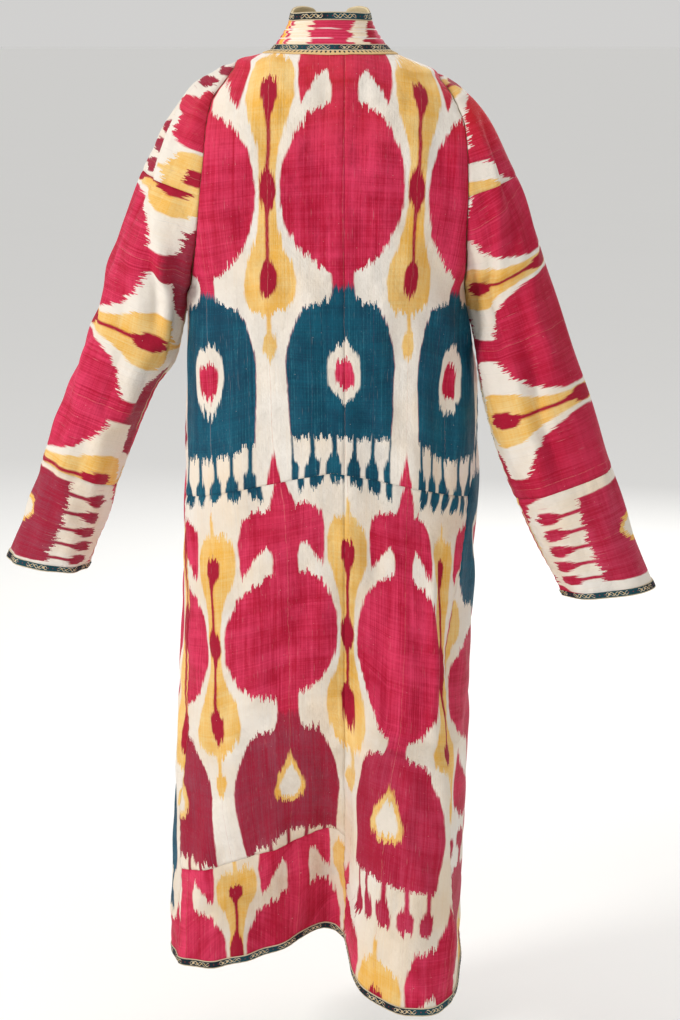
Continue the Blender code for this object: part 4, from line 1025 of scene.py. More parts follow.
def add_sleeve(side, word, materials):
    """The three strips of a sleeve; its outer points, normals and lengths are for the cuff's tape."""
    rows, points, normals = sleeve_grid(side)
    down, arc = sleeve_places(points)
    outer = points + normals * sleeve_lift(side, rows, down, arc)[..., None]
    inner = outer - normals * WALL
    stops = (0, *SLEEVE_SEAM_ROWS, len(SLEEVES[side]) - 1)
    for part, first, last in zip(("upper", "middle", "cuff"), stops, stops[1:]):
        chosen = (rows >= first - ROW_SLACK) & (rows <= last + ROW_SLACK)
        marks = sleeve_marks(side, part, down[chosen], arc[chosen])
        name = f"sleeve_{part}_{word}"
        piece = add_shell(name, outer[chosen], inner[chosen], marks, materials)
        declare_sheet(outer[chosen])
    return outer, normals, down


# ---- Collar ---------------------------------------------------------------------------------
COLLAR_SAMPLES = 1601
COLLAR_SHARES = np.linspace(0, 1, 37)
COLLAR_SWELL = 0.15
COLLAR_EDGE_FADE = 0.08


def rib_height(share):
    """The ribs between the rows of quilting, from the collar's seam towards its free edge."""
    at = np.clip((share - RIB_START) / (RIB_END - RIB_START), 0, 1)
    return RIB_HEIGHT * np.abs(np.sin(math.pi * RIB_COUNT * at))


def neck_normals(points, column):
    """Normals of a grid round the neck, which face behind in this column of its middle row."""
    normals = unit(np.cross(np.gradient(points, axis=1), np.gradient(points, axis=0)))
    if normals[len(points) // 2, column, 1] < 0:
        normals = -normals
    return normals


def add_collar(materials):
    dense = np.linspace(-2, 2, COLLAR_SAMPLES)
    run = lengths_along(collar_point(dense, np.full_like(dense, 0.5))[None], 1)[0]
    places = np.interp(np.linspace(0, run[-1], math.ceil(run[-1] / CELL) + 1), run, dense)
    points = collar_point(places[:, None], COLLAR_SHARES)
    normals = neck_normals(points, len(COLLAR_SHARES) // 2)
    along = lengths_along(points, 0)
    along = along - along[len(points) // 2]
    across = lengths_along(points, 1)
    lift = rib_height(COLLAR_SHARES) + COLLAR_SWELL * soft_waves(along, across, COLLAR_SEED)
    lift = lift * eased(COLLAR_SHARES / COLLAR_EDGE_FADE)
    lift = lift * eased((1.0 - COLLAR_SHARES) / COLLAR_EDGE_FADE)
    outer = points + normals * lift[..., None]
    marks = np.stack([across, along], axis=-1)
    piece = add_shell("collar", outer, points - normals * WALL, marks, materials)
    declare_sheet(outer)
    return points, normals


# ---- Tapes ----------------------------------------------------------------------------------
TAPE_CELLS = 6
TAPE_STEP = 0.0030
TAPE_PLACES = np.linspace(0, TAPE_WIDTH, TAPE_CELLS + 1)
TAPE_EDGE = 0.55
KNOT_HEIGHT = 0.00016
KNOT_PITCH = 0.0042
WALK_LEVEL = 0.0005
WALK_TURN = 0.2
LEAST_PER_LEVEL = 0.5
LEAST_PER_TURN = 1e-4
HEM_SAMPLES = 3001
FRONT_SAMPLES = 901
NECK_SAMPLES = 401
NECK_FRONT_SAMPLES = 601
TURN_START = 74
TURN_SPAN = 40
COLLAR_END = 1.95
FOOT_CLIMB = 0.0085
FOOT_FADE = 0.1
FOOT_LEAST = 0.0004
FOOT_CELLS = 4
FOOT_REACH = 0.9
HEIGHT_LEAST = 0.004


def add_tape(name, rows, normals, materials):
    """A flat band over a grid of points on the cloth, along by across, rounded at its edges."""
    across = np.linspace(0, 1, rows.shape[1])
    rounded = np.sqrt(np.clip(1 - (2 * across - 1) ** 4, 0, 1))
    crown = TAPE_THICK * (TAPE_EDGE + (1 - TAPE_EDGE) * rounded)
    run = lengths_along(rows, 0)[:, TAPE_CELLS // 2]
    knot = KNOT_HEIGHT * np.sin(run * 2 * math.pi / KNOT_PITCH)
    outer = rows + normals * (TAPE_LIFT + crown[None, :] + knot[:, None])[..., None]
    inner = rows + normals * TAPE_LIFT
    width = lengths_along(rows, 1)
    marks = np.stack(np.broadcast_arrays(width, run[:, None]), axis=-1)
    piece = add_shell(name, outer, inner, marks, materials)
    declare_sheet(outer)


def walk(level, angle, down, away):
    """Points and normals of the body's cloth at even steps from an edge, in a direction over it."""
    side = np.where(angle >= 0, 1, -1)
    levels = [level]
    angles = [angle]
    step = TAPE_WIDTH / TAPE_CELLS
    for _ in range(TAPE_CELLS):
        here = body_point(level, angle)
        below = body_point(level - WALK_LEVEL, angle)
        beside = body_point(level, angle + side * WALK_TURN)
        per_level = np.linalg.norm(below - here, axis=-1) / WALK_LEVEL
        per_turn = np.linalg.norm(beside - here, axis=-1) / WALK_TURN
        level = level - down * step / np.maximum(per_level, LEAST_PER_LEVEL)
        angle = angle + away * side * step / np.maximum(per_turn, LEAST_PER_TURN)
        levels.append(level)
        angles.append(angle)
    levels = np.stack(levels, axis=1)
    angles = np.stack(angles, axis=1)
    normals = body_normals(levels, angles)
    return body_point(levels, angles) + normals * body_lift(levels, angles)[..., None], normals


def even_run(level, angle):
    """The same line, at even steps."""
    run = lengths_along(body_point(level, angle)[None], 1)[0]
    even = np.linspace(0, run[-1], math.ceil(run[-1] / TAPE_STEP) + 1)
    return np.interp(even, run, level), np.interp(even, run, angle)


def add_hem_tape(materials):
    inner = neck_angle(np.array([HEM_LEVEL]), 1)[0]
    dense = np.linspace(-inner, inner, HEM_SAMPLES)
    level, angle = even_run(np.full_like(dense, HEM_LEVEL), dense)
    points, normals = walk(level, angle, -1.0, 0.0)
    add_tape("hem_tape", points, normals, materials)


def add_front_tape(side, word, materials):
    level = np.linspace(EDGE_ROWS[COLLAR_END_ROW][0], HEM_LEVEL + TAPE_WIDTH, FRONT_SAMPLES)
    level, angle = even_run(level, neck_angle(level, side))
    points, normals = walk(level, angle, 0.0, -1.0)
    add_tape(f"front_tape_{word}", points, normals, materials)


def add_cuff_tape(word, sleeve, materials):
    outer, normals, down = sleeve
    up = (down[-1, 0] - down[:, 0])[::-1]
    strips = []
    for values in (outer, normals):
        lines = values[::-1].reshape(len(values), -1).T
        picked = np.array([np.interp(TAPE_PLACES, up, line) for line in lines])
        strips.append(picked.reshape(-1, 3, len(TAPE_PLACES)).transpose(0, 2, 1))
    add_tape(f"cuff_tape_{word}", strips[0], strips[1], materials)


def add_collar_edge_tape(points, normals, materials):
    heights = lengths_along(points, 1)
    strips = []
    for values in (points, normals):
        rows = []
        for height, line in zip(heights, values):
            back = height[-1] - TAPE_PLACES
            rows.append(np.stack([np.interp(back, height, line[:, k]) for k in range(3)], axis=-1))
        strips.append(np.array(rows))
    add_tape("collar_edge_tape", strips[0], strips[1], materials)


def add_neck_tape(materials):
    """The tape along the neckline seam, which lies on the body and climbs the collar's foot."""
    dense = np.linspace(-1, 1, NECK_SAMPLES)
    fronts = np.linspace(TOP_LEVEL, EDGE_ROWS[COLLAR_END_ROW - 1][0], NECK_FRONT_SAMPLES)[1:]
    level = np.concatenate([fronts[::-1], np.full_like(dense, TOP_LEVEL), fronts])
    angle = np.concatenate([neck_angle(fronts, -1)[::-1], dense * 90, neck_angle(fronts, 1)])
    level, angle = even_run(level, angle)
    turn = eased((np.abs(angle) - TURN_START) / TURN_SPAN) * math.pi / 2
    away = np.where(np.abs(angle) > 90, -1, 1) * np.sin(turn)
    points, _ = walk(level, angle, np.cos(turn), away)
    length = 1 + np.interp(-level, -COLLAR_LEVELS, np.linspace(0, 1, len(COLLAR_LEVELS)))
    place = np.where(np.abs(angle) <= 90, angle / 90, np.sign(angle) * length)
    height = np.linalg.norm(collar_point(place, np.ones_like(place)) - collar_base(place), axis=-1)
    climb = FOOT_CLIMB * eased((COLLAR_END - np.abs(place)) / FOOT_FADE) + FOOT_LEAST
    shares = (climb / np.maximum(height, HEIGHT_LEAST))[:, None] * np.linspace(1, 0, FOOT_CELLS + 1)[:-1]
    foot = collar_point(place[:, None], np.minimum(shares, FOOT_REACH))
    points = np.concatenate([foot, points], axis=1)
    add_tape("collar_base_tape", points, neck_normals(points, -1), materials)


def add_tapes(materials, sleeves, collar):
    add_hem_tape(materials)
    for side, word in SIDES:
        add_front_tape(side, word, materials)
    for side, word in SIDES:
        add_cuff_tape(word, sleeves[side], materials)
    add_collar_edge_tape(*collar, materials)
    add_neck_tape(materials)


# ---- Materials ------------------------------------------------------------------------------
def ink(red, green, blue):
    """A colour read off a screen, 0 to 255, as the linear one that a shader takes."""
    parts = [c / 255 for c in (red, green, blue)]
    return tuple(c / 12.92 if c <= 0.04045 else ((c + 0.055) / 1.055) ** 2.4 for c in parts) + (1.0,)


CRIMSON = ink(220, 14, 70)
CRIMSON_DEEP = ink(172, 4, 44)
CRIMSON_FADED = ink(228, 66, 106)
ORANGE_RED = ink(206, 42, 34)
SHOULDER_RED = ink(214, 12, 22)
MAROON = ink(164, 22, 54)
MAROON_GREY = ink(150, 72, 90)
TEAL = ink(0, 92, 116)
TEAL_DARK = ink(0, 64, 88)
TEAL_LIGHT = ink(66, 134, 150)
CREAM = ink(240, 228, 212)
CREAM_PALE = ink(244, 238, 230)
CREAM_TAN = ink(236, 204, 158)
YELLOW = ink(240, 178, 66)
YELLOW_PALE = ink(244, 208, 138)
WHITE = ink(238, 228, 214)
LINING = ink(232, 216, 178)
LINING_SHADE = ink(214, 190, 146)
TAPE_DARK = ink(16, 34, 42)
TAPE_TEAL = ink(20, 66, 76)
TAPE_CREAM = ink(222, 204, 172)
TAPE_GOLD = ink(220, 168, 62)
TAPE_RED = ink(172, 40, 52)


FLOOR_PALE = (0.97, 0.97, 0.96, 1.0)
FLOOR_GREY = (0.93, 0.93, 0.92, 1.0)
SHINE = 0.22


class Wire:
    """A value in a material, which takes part in sums written as Python writes them."""

    def __init__(self, bench, socket):
        self.bench = bench
        self.socket = socket

    def maths(self, operation, *values, clamp=False):
        settings = {"operation": operation, "use_clamp": clamp}
        return self.bench.add("ShaderNodeMath", settings, *values)

    def __add__(self, other):
        return self.maths("ADD", self, other)

    def __sub__(self, other):
        return self.maths("SUBTRACT", self, other)

    def __mul__(self, other):
        return self.maths("MULTIPLY", self, other)

    def __truediv__(self, other):
        return self.maths("DIVIDE", self, other)

    def __rsub__(self, other):
        return self.maths("SUBTRACT", other, self)

    def size(self):
        return self.maths("ABSOLUTE", self)

    def floor(self):
        return self.maths("FLOOR", self)

    def sine(self):
        return self.maths("SINE", self)

    def wave(self, pitch):
        """A sine that repeats every pitch."""
        return (self * (2 * math.pi / pitch)).sine()

    def wrapped(self, low, high):
        return self.maths("WRAP", self, high, low)

    def clipped(self):
        return self.maths("ADD", self, 0.0, clamp=True)

    def most(self, other):
        return self.maths("MAXIMUM", self, other)

    def least(self, other):
        return self.maths("MINIMUM", self, other)

    def power(self, other):
        return self.maths("POWER", self, other)


class Bench:
    """One material being made: its nodes are added one by one and joined by their values."""

    def __init__(self, name):
        self.material = bpy.data.materials.new(name)
        self.material.use_nodes = True
        self.tree = self.material.node_tree
        self.surface = self.tree.nodes["Principled BSDF"]

    def set_socket(self, socket, value):
        if isinstance(value, Wire):
            self.tree.links.new(value.socket, socket)
        elif value is not None:
            socket.default_value = value

    def add(self, kind, settings, *values, out=0, **named):
        """A node with its settings, then the values or links of its sockets, and one of its outputs."""
        node = self.tree.nodes.new(kind)
        for key, value in settings.items():
            setattr(node, key, value)
        for key, value in [*enumerate(values), *named.items()]:
            self.set_socket(node.inputs[key], value)
        return Wire(self, node.outputs[out])

    def curve(self, stops, value):
        """The value read off a curve of straight runs between its stops."""
        found = self.add("ShaderNodeFloatCurve", {}, Value=value)
        mapping = found.socket.node.mapping
        mapping.extend = "HORIZONTAL"
        points = mapping.curves[0].points
        for x, y in stops[1:-1]:
            points.new(x, y)
        points[0].location = stops[0]
        points[-1].location = stops[-1]
        for point, stop in zip(points, sorted(stops)):
            point.location = stop
            point.handle_type = "VECTOR"
        mapping.update()
        return found

    def split(self, place):
        """The three values of a place."""
        node = self.add("ShaderNodeSeparateXYZ", {}, place).socket.node
        return [Wire(self, socket) for socket in node.outputs]

    def join(self, x, y, z=0.0):
        return self.add("ShaderNodeCombineXYZ", {}, x, y, z)

    def places(self):
        """The two values of the piece's own map: across the loom, and along the warp."""
        return self.split(self.add("ShaderNodeUVMap", {"uv_map": "cloth"}))[:2]

    def noise(self, place, scale, detail=0.0, roughness=0.5):
        """Smooth noise about 0, from about -0.5 to 0.5."""
        settings = {"noise_dimensions": "3D"}
        values = {"Vector": place, "Scale": scale, "Detail": detail, "Roughness": roughness}
        return self.add("ShaderNodeTexNoise", settings, **values) - 0.5

    def grain(self, across, along, number=0.0, detail=0.0, roughness=0.5):
        """Noise over places that are already scaled, a different one for each number."""
        return self.noise(self.join(across, along, number), 1.0, detail, roughness)

    def mix(self, share, under, over):
        unused = [None] * 5
        return self.add("ShaderNodeMix", {"data_type": "RGBA"}, share, *unused, under, over, out=2)

    def finish(self, colour, roughness, height, strength, distance):
        bump = self.add("ShaderNodeBump", {}, Strength=strength, Distance=distance, Height=height)
        wanted = {"Base Color": colour, "Normal": bump, "Roughness": roughness, "Specular IOR Level": SHINE}
        for name, value in wanted.items():
            self.set_socket(self.surface.inputs[name], value)
        return self.material


# ---- The ikat, charted ----------------------------------------------------------------------
# Each motif is drawn as half its width at places along the warp, both in millimetres, from the
# middle of the round. A row's motifs run from the leaves above the round to the tassels below it.
CHART_TOP = -0.260
CHART_FOOT = 0.380
CHART_HALF = 0.080
ROUND = (
    (-256, 0), (-240, 4), (-220, 9), (-200, 16), (-190, 17), (-150, 24), (-138, 22), (-130, 18), (-120, 16),
    (-100, 16.5), (-96, 20), (-92, 32), (-84, 45), (-70, 56), (-50, 66), (-25, 73), (0, 75), (25, 74), (50, 67),
    (70, 57), (84, 45), (94, 32), (101, 20), (104, 15), (120, 14.5), (134, 15), (140, 18), (144, 30), (148, 44),
    (156, 52), (170, 58), (186, 64), (205, 69), (225, 71), (275, 69), (305, 67), (314, 66), (316.5, 0),
)
LEAVES = (
    (-196, 0), (-190, 30), (-184, 44), (-170, 53), (-150, 56), (-125, 55), (-106, 53), (-100, 50), (-98, 0),
)
UNDER_LEAVES = ((-140, 0), (-139, 24), (-132, 32), (-120, 40), (-108, 47), (-96, 56))
TASSEL = ((308, 3.5), (338, 3.5), (344, 7), (350, 10.5), (364, 10.5), (370, 8), (373, 0))
ROUND_EYE = ((191, 0), (194, 8), (202, 16), (214, 21), (230, 22.5), (246, 21), (258, 15), (266, 7), (269, 0))
ROUND_PUPIL = ((212, 0), (214, 8), (222, 13), (232, 14), (244, 12.5), (249, 7), (251, 0))
DROP_EYE = ((178, 0), (195, 5), (210, 12), (225, 18), (240, 21), (252, 20), (262, 13), (267, 0))
DROP_PUPIL = ((200, 0), (212, 6), (226, 12), (240, 15), (250, 13), (256, 7), (258, 0))
LOBES = (
    (-190, 0), (-186, 3.5), (-168, 3.5), (-162, 16), (-156, 26), (-140, 31), (-110, 31), (-90, 25), (-70, 18),
    (-50, 13), (-30, 11), (20, 11), (45, 13), (60, 16), (80, 23), (98, 31), (120, 34), (142, 31), (152, 22),
    (158, 8), (161, 3.5), (185, 3.5), (190, 8), (204, 10), (214, 8), (224, 0),
)
STEM = (
    (-136, 0), (-134, 8), (-128, 11), (-112, 11), (-102, 7), (-92, 4), (-80, 3), (-28, 3), (-18, 7), (-8, 10.5),
    (8, 11), (18, 8), (26, 4), (34, 3), (90, 3), (98, 8), (106, 11), (126, 11), (136, 6), (142, 0),
)
DYE_CHANGE = 0.125
DYE_BLEED = 0.006
TASSEL_PITCH = 0.0265
TASSEL_TOP = 0.300
TASSEL_REACH = 0.066
SOFT = 0.0022
INSET = 0.0008
SHUT = 0.002
BUNDLE = 0.0034
THREAD = 0.0008
WEFT_STEP = 0.0013
WEFT_PITCH = 0.00085


def drawn(bench, along, across, chart):
    """1 inside a charted motif and 0 outside it, with a soft edge."""
    span = CHART_FOOT - CHART_TOP
    stops = [((v / 1000 - CHART_TOP) / span, half / 1000 / CHART_HALF) for v, half in chart]
    stops = [(0.0, stops[0][1]), *stops, (1.0, stops[-1][1])]
    if chart[0][1] > 0:
        stops[0] = (0.0, 0.0)
        stops.insert(1, (stops[1][0] - SHUT, 0.0))
    half = bench.curve(stops, (along - CHART_TOP) / span) * CHART_HALF
    return ((half - across - INSET) / SOFT + 0.5).clipped()


def row_of_motifs(bench, colour, across, along, own, other, eye, pupil, dyes):
    """Lays one row's motifs over a colour. Own and other are the distances to its columns."""
    colour = bench.mix(drawn(bench, along, other, LOBES), colour, dyes["yellow"])
    colour = bench.mix(drawn(bench, along, other, STEM), colour, dyes["stem"])
    leaves = drawn(bench, along, own, LEAVES) * (1.0 - drawn(bench, along, own, UNDER_LEAVES))
    body = drawn(bench, along, own, ROUND)
    colour = bench.mix(leaves.most(body), colour, dyes["round"])
    arch = body * ((along - DYE_CHANGE) / DYE_BLEED + 0.5).clipped()
    string = (across.wrapped(0.0, TASSEL_PITCH) - TASSEL_PITCH / 2).size()
    tassels = drawn(bench, along, string, TASSEL) * ((TASSEL_REACH - own) / SOFT + 0.5).clipped()
    tassels = tassels * ((along - TASSEL_TOP) / SOFT + 0.5).clipped()
    colour = bench.mix(arch.most(tassels), colour, dyes["arch"])
    colour = bench.mix(drawn(bench, along, own, eye), colour, dyes["eye"])
    return bench.mix(drawn(bench, along, own, pupil), colour, dyes["pupil"])


def woven_tones(bench, u, v, thread):
    """The unevenness of the cloth, from single threads to wide clouds."""
    place = bench.join(u, v)
    tones = {
        "streak": bench.grain(thread * 2.7, v * 7.0, 1.0, 2.0),
        "band": bench.grain(u * 60.0, v * 5.0, 2.0, 3.0),
        "slow": bench.noise(place, 7.0, 2.0),
        "fine": bench.grain(u * 900.0, v * 240.0, 4.0, 2.0),
        "ridges": bench.grain(u * 7.0, v * 44.0, 11.0, 2.0),
        "washed": bench.grain(u * 26.0, v * 26.0, 8.0, 4.0, 0.62),
        "cloud": bench.noise(place, 9.0, 3.0),
    }
    weft = bench.grain(u * 9.0, (v / WEFT_STEP).floor() * 3.1, 6.0)
    mixed = tones["streak"] * 2.0 + tones["band"] * 1.4 + tones["slow"] * 1.2 + tones["washed"] * 1.5
    tones["tone"] = (mixed + weft * 0.6 + tones["ridges"] * 1.1 + 0.45).clipped()
    return tones


def ikat_dyes(bench, tones, x, height):
    """The ground and the dyes of the two rows, which differ over the robe by x and by height, with painted
    shade darkening the crimson on the wearer's right arm.
    """
    tone, streak, fine, slow = (tones[key] for key in ("tone", "streak", "fine", "slow"))
    crimson = bench.mix(0.25, bench.mix(tone, CRIMSON_DEEP, CRIMSON_FADED), CRIMSON)
    teal = bench.mix(tone, TEAL_DARK, TEAL)
    rubbed = ((streak + fine * 0.6 + tones["washed"] * 0.5 - 0.08) * 3.4).clipped()
    teal = bench.mix(rubbed * 0.55, teal, TEAL_LIGHT)
    maroon = bench.mix((tone * 0.5 + (streak + fine * 0.6) * 1.1).clipped(), MAROON, MAROON_GREY)
    maroon = bench.mix((x * -14.0 - 0.1).clipped() * 0.6, maroon, crimson)

    # Both shoulders are turned to orange in patches, and the wearer's right one is a purer red. The right arm
    # below it is darkened towards the deep crimson: painted shade, standing in for the shade that side lies in.
    sunned = ((height + 0.13) * 9.0).clipped() * ((slow + streak * 0.5) * 2.0 + 0.5).clipped()
    crimson = bench.mix(sunned * 0.6, crimson, ORANGE_RED)
    right_shoulder = (x * -26.0 - 3.5).clipped() * ((height + 0.125) * 16.0).clipped()
    crimson = bench.mix(right_shoulder * 0.8, crimson, SHOULDER_RED)
    # Painted shade: the crimson of the wearer's right arm is mixed halfway to the deep crimson.
    right_arm_painted_shade = (x * -8.0 - 1.1).clipped() * (1.0 - right_shoulder)
    crimson = bench.mix(right_arm_painted_shade * 0.5, crimson, CRIMSON_DEEP)

    ground = bench.mix((slow * 2.2 + 0.5 + tones["band"] * 0.8).clipped(), CREAM_PALE, CREAM)
    stain = (tones["cloud"] * 1.9 + streak * 0.5 - height * 0.42 - 0.08).clipped()
    ground = bench.mix(stain * 0.8, ground, CREAM_TAN)
    yellow = bench.mix((tone * 0.9 + fine * 0.6).clipped(), YELLOW_PALE, YELLOW)
    white = bench.mix((fine + 0.5).clipped() * 0.5, WHITE, CREAM)
    shared = {"yellow": yellow, "stem": bench.mix(0.25, CRIMSON_DEEP, MAROON), "round": crimson}
    first = {**shared, "arch": teal, "eye": white, "pupil": crimson}
    second = {**shared, "arch": maroon, "eye": yellow, "pupil": white}
    return ground, first, second


def make_ikat():
    """The ikat: charted motifs, with a jag for each bundle and thread of the warp."""
    bench = Bench("ikat_cloth")
    u, v = bench.places()
    bundle = (u / BUNDLE + bench.noise(bench.join(u, v), 90.0) * 0.37).floor()
    thread = (u / THREAD).floor()
    bundle_jag = bench.grain(bundle * 7.31, v * 9.0) * 0.018
    thread_jag = bench.grain(thread * 5.17, v * 20.0, 3.0) * 0.019
    along = v + bundle_jag + thread_jag
    wander = bench.grain(u * 8.0, v * 26.0, 7.0, 1.0) * 0.0042
    fray = bench.grain(thread * 3.3, v * 150.0, 9.0) * 0.0014
    across = u + wander + fray
    even = ((across + HALF_PITCH).wrapped(0.0, 2 * HALF_PITCH) - HALF_PITCH).size()
    odd = (across.wrapped(0.0, 2 * HALF_PITCH) - HALF_PITCH).size()
    top, foot = CHART_TOP, CHART_TOP + 2 * ROW_LENGTH
    first = along.wrapped(top, foot).least(CHART_FOOT)
    second = (along - ROW_LENGTH).wrapped(top, foot).least(CHART_FOOT)

    tones = woven_tones(bench, u, v, thread)
    streak, fine, ridges = tones["streak"], tones["fine"], tones["ridges"]
    body_place = bench.add("ShaderNodeTexCoord", {}, out=3)
    x, _, height = bench.split(body_place)
    colour, dyes, other_dyes = ikat_dyes(bench, tones, x, height)
    colour = row_of_motifs(bench, colour, across, first, even, odd, ROUND_EYE, ROUND_PUPIL, dyes)
    colour = row_of_motifs(bench, colour, across, second, odd, even, DROP_EYE, DROP_PUPIL, other_dyes)
    undyed = ((bench.grain(thread * 1.9, v * 40.0, 5.0, 1.0) - 0.17) * 6.0).clipped()
    colour = bench.mix(undyed * 0.14, colour, CREAM_PALE)
    slub = ((bench.grain(u * 500.0, v * 620.0, 6.0) - 0.335) * 14.0).clipped()
    colour = bench.mix(slub * 0.4, colour, CREAM_PALE)
    crumple = bench.noise(body_place, 52.0, 3.0, 0.55) * 1.6 + bench.noise(body_place, 19.0, 2.0) * 3.6
    relief = v.wave(WEFT_PITCH) * 0.05 + streak * 0.20 + fine * 0.20 + crumple + ridges * 2.2
    roughness = (0.62 - fine * 0.10 - streak * 0.10).clipped()
    return bench.finish(colour, roughness, relief, 0.8, 0.0034)


# Round the collar from the back middle, above 0 to the wearer's left, the collar's strip is dyed in
# plain bands.
COLLAR_BANDS = (
    (-0.600, -0.470, "red"), (-0.430, -0.340, "teal"), (-0.300, -0.180, "red"), (-0.150, -0.136, "yellow"),
    (-0.126, -0.052, "deep"), (-0.090, -0.070, "red"), (-0.030, 0.021, "red"), (0.052, 0.060, "red"),
    (0.062, 0.074, "yellow"), (0.074, 0.102, "red"), (0.150, 0.270, "red"), (0.310, 0.400, "teal"),
    (0.440, 0.600, "red"),
)
BAND_SOFT = 0.003
COLLAR_WIDTH = 0.1068
QUILTING_HALF = 0.0010
STITCH_PITCH = 0.0045


def make_collar_ikat():
    """The collar's strip of the same cloth, with its warp round the neck."""
    bench = Bench("collar_ikat")
    u, v = bench.places()
    thread = (u / THREAD).floor()
    bundle = (u / BUNDLE).floor()
    jag = bench.grain(bundle * 7.3, v * 12.0) * 0.020
    along = v + jag + bench.grain(thread * 5.1, v * 14.0, 3.0) * 0.010
    streak = bench.grain(thread * 2.7, v * 9.0, 1.0, 2.0)
    fine = bench.grain(u * 900.0, v * 240.0, 4.0, 2.0)
    tone = (streak * 1.8 + fine * 0.4 + 0.5).clipped()
    crimson = bench.mix(tone, CRIMSON_DEEP, CRIMSON_FADED)
    dyes = {"red": crimson, "yellow": YELLOW, "teal": TEAL, "deep": CRIMSON_DEEP}
    colour = bench.mix(tone, CREAM_TAN, CREAM_PALE)
    for low, high, dye in COLLAR_BANDS:
        begun = ((along - low) / BAND_SOFT + 0.5).clipped()
        colour = bench.mix(begun * ((high - along) / BAND_SOFT + 0.5).clipped(), colour, dyes[dye])
    pitch = (RIB_END - RIB_START) * COLLAR_WIDTH / RIB_COUNT
    sway = bench.grain(0.0, v * 40.0) * 0.0012
    valley = (u - RIB_START * COLLAR_WIDTH + sway).wrapped(-pitch / 2, pitch / 2)
    quilting = ((QUILTING_HALF - valley.size()) / 0.0005).clipped()
    quilting = quilting * (bench.grain(bundle, v * 22.0) * 9.0 + 0.9).clipped()
    colour = bench.mix(quilting * 0.8, colour, CREAM_PALE)
    stitch = (v.wave(STITCH_PITCH) * 0.5 + 0.5).clipped()
    roughness = (0.62 - fine * 0.1).clipped()
    return bench.finish(colour, roughness, fine * 0.4 + streak * 0.3 + stitch * 0.1, 0.5, 0.0012)


def make_lining():
    bench = Bench("lining_cotton")
    u, v = bench.places()
    cloud = bench.noise(bench.join(u, v), 9.0, 3.0)
    fine = bench.grain(u * 900.0, v * 900.0, 0.0, 2.0)
    threads = u.wave(0.0007) * v.wave(0.0007)
    colour = bench.mix((cloud * 1.6 + fine * 0.4 + 0.4).clipped(), LINING, LINING_SHADE)
    return bench.finish(colour, 0.85, threads * 0.3 + fine * 0.5, 0.4, 0.0005)


SCROLL_PITCH = 0.0120
SCROLL_SWING = 0.0023
FIGURE_REPEAT = 0.042
FIGURE_START = 0.012
FIGURE_END = 0.041
DOT_HALF_PITCH = 0.0030
BORDER_START = 0.0112
BORDER_MIDDLE = 0.0142


def make_tape():
    """A narrow woven band: a scroll and dots on a dark ground, with a light thread at each edge."""
    bench = Bench("trim_tape")
    t, s = bench.places()
    off = t - TAPE_WIDTH / 2
    fine = bench.grain(t * 1500.0, s * 1500.0, 0.0, 1.0)
    turn = s * (2 * math.pi / SCROLL_PITCH)
    part = s.wrapped(0.0, FIGURE_REPEAT)
    figured = ((part - FIGURE_START) / 0.001).clipped() * ((FIGURE_END - part) / 0.001).clipped()
    scroll = (0.00062 - (off - turn.sine() * SCROLL_SWING).size()) / 0.0003
    back_scroll = (0.00050 - (off + (turn + 0.9).sine() * SCROLL_SWING).size()) / 0.0003
    scrolls = scroll.clipped().most(back_scroll.clipped()) * figured
    cell = s.wrapped(-DOT_HALF_PITCH, DOT_HALF_PITCH)
    away = (cell * cell + off * off).power(0.5)
    petals = ((0.0016 - away) / 0.0004).clipped() * figured * ((s * 131.0).sine() * 5.0).clipped()
    heart = ((0.0008 - away) / 0.0003).clipped()
    scallop = s.wave(0.0030).size() * 0.0005
    edge = ((off.size() - (TAPE_WIDTH / 2 - 0.0011) + scallop) / 0.0003).clipped()
    colour = bench.mix(((s / 0.031).sine() * 3.0).clipped(), TAPE_DARK, TAPE_TEAL)
    colour = bench.mix(scrolls, colour, TAPE_CREAM)
    colour = bench.mix(petals, colour, TAPE_CREAM)
    colour = bench.mix(heart * figured, colour, TAPE_GOLD)
    colour = bench.mix(heart * (1.0 - figured) * 0.8, colour, TAPE_RED)
    colour = bench.mix(edge * 0.9, colour, TAPE_CREAM)
    colour = bench.mix((fine * 2.0 + 0.1).clipped() * 0.35, colour, TAPE_DARK)

    # Only the neck's tape is wide enough to reach the cream border with its dark dots.
    dots = s.wave(0.0052) * 2.6 + 0.6 - (t - BORDER_MIDDLE).size() * 900.0
    border = bench.mix((fine + 0.5).clipped(), TAPE_CREAM, TAPE_GOLD)
    border = bench.mix(dots.clipped(), border, TAPE_DARK)
    colour = bench.mix(((t - BORDER_START) / 0.0004).clipped(), colour, border)
    relief = s.wave(0.0012) * 0.5 + fine + scroll.clipped() * 0.8
    return bench.finish(colour, 0.78, relief, 0.5, 0.0004)


def make_floor_paint():
    bench = Bench("floor_paint")
    cloud = bench.noise(bench.add("ShaderNodeTexCoord", {}, out=3), 1.4, 2.0)
    colour = bench.mix((cloud + 0.5).clipped() * 0.3, FLOOR_PALE, FLOOR_GREY)
    return bench.finish(colour, 0.9, cloud, 0.05, 0.001)


# ---- Building it all ------------------------------------------------------------------------
FLOOR_RADIUS = 300.0
FLOOR_DROP = 0.16
AIR_COLOUR = (1.0, 0.99, 0.975, 1.0)
AIR_STRENGTH = 0.64
AIM = (0.0, 0.0, -0.55)
LIGHTS = (
    ("key_light", (3.3, 2.2, 1.3), 1.0, 92.0, (1.0, 0.985, 0.96)),
    ("fill_light", (-2.8, 2.6, 0.4), 2.4, 4.0, (1.0, 0.97, 0.94)),
    ("top_light", (0.0, -0.6, 3.2), 2.2, 24.0, (1.0, 0.99, 0.97)),
    ("front_light", (-0.8, -3.4, 0.8), 2.4, 40.0, (1.0, 0.985, 0.96)),
)
CAMERA_PLACE = (-0.009, 3.0, 0.03)
CAMERA_TILT = 78.5
CAMERA_LENS = 82.2


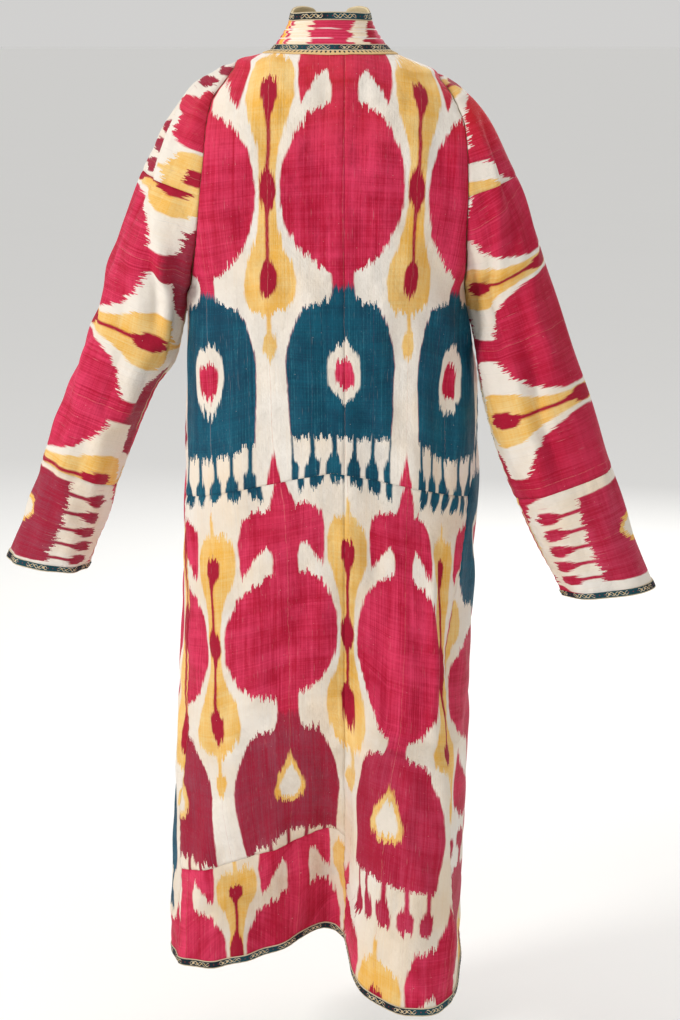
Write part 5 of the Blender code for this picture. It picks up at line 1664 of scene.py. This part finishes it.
def edge(side, front):
    return lambda levels: limit_angle(levels, side, front)


def inner_edge(side):
    return lambda levels: neck_angle(levels, side)


def make_robe():
    ikat = make_ikat()
    lining = make_lining()
    tape = make_tape()
    cloths = (ikat, lining)
    last = len(EDGE_ROWS) - 1
    upper = back_marks(UPPER_COLUMNS, UPPER_LINES, UPPER_WARPS, 0.0)
    lower = back_marks(LOWER_COLUMNS, LOWER_LINES, LOWER_WARPS, ROW_LENGTH)
    hem = back_marks(HEM_PIECE_COLUMNS, HEM_PIECE_LINES, HEM_PIECE_WARPS, ROW_LENGTH)
    side_warps = {1: LEFT_SIDE_WARP, -1: RIGHT_SIDE_WARP}
    for side, word in SIDES:
        back = edge(side, False)
        front = edge(side, True)
        foot = HEM_PIECE_ROW if side > 0 else last
        gusset = side_marks(side_warps[side], SIDE_AXES[side])
        add_panel(f"back_upper_{word}", 0, WAIST_ROW, middle_angle, back, upper, cloths)
        add_panel(f"back_lower_{word}", WAIST_ROW, foot, middle_angle, back, lower, cloths)
        if side > 0:
            add_panel("back_hem_piece", HEM_PIECE_ROW, last, middle_angle, back, hem, cloths)
        add_panel(f"side_{word}", GUSSET_ROW, last, back, front, gusset, cloths)
        add_panel(f"front_{word}", 0, last, front, inner_edge(side), front_marks, cloths)
    sleeves = {side: add_sleeve(side, word, cloths) for side, word in SIDES}
    collar = add_collar((make_collar_ikat(), lining))
    add_tapes((tape, tape), sleeves, collar)


def add_floor():
    bpy.ops.mesh.primitive_circle_add(vertices=96, radius=FLOOR_RADIUS, fill_type="NGON", location=(0, 0, 0))
    floor = bpy.context.object
    floor.name = "floor"
    for corner in floor.data.vertices:
        corner.co.z = cad_box[0].z - FLOOR_DROP
    floor.data.materials.append(make_floor_paint())


def add_light(name, place, size, power, colour):
    """A round lamp, turned to the middle of the robe."""
    lamp = bpy.data.lights.new(name, "AREA")
    lamp.shape = "DISK"
    lamp.size = size
    lamp.energy = power
    lamp.color = colour
    thing = bpy.data.objects.new(name, lamp)
    thing.location = place
    thing.rotation_euler = (Vector(AIM) - Vector(place)).to_track_quat("-Z", "Y").to_euler()
    bpy.context.scene.collection.objects.link(thing)


def add_studio():
    scene = bpy.context.scene
    scene.view_settings.view_transform = "Standard"
    world = bpy.data.worlds.new("studio_air")
    world.use_nodes = True
    air = world.node_tree.nodes["Background"]
    air.inputs["Color"].default_value = AIR_COLOUR
    air.inputs["Strength"].default_value = AIR_STRENGTH
    scene.world = world
    for light in LIGHTS:
        add_light(*light)
    lens = bpy.data.cameras.new("photo_camera")
    lens.lens = CAMERA_LENS
    lens.sensor_width = 36.0
    camera = bpy.data.objects.new("photo_camera", lens)
    camera.location = CAMERA_PLACE
    camera.rotation_euler = (math.radians(CAMERA_TILT), 0.0, math.radians(180.0))
    scene.collection.objects.link(camera)
    scene.camera = camera


def main():
    make_robe()
    add_floor()
    add_studio()


main()
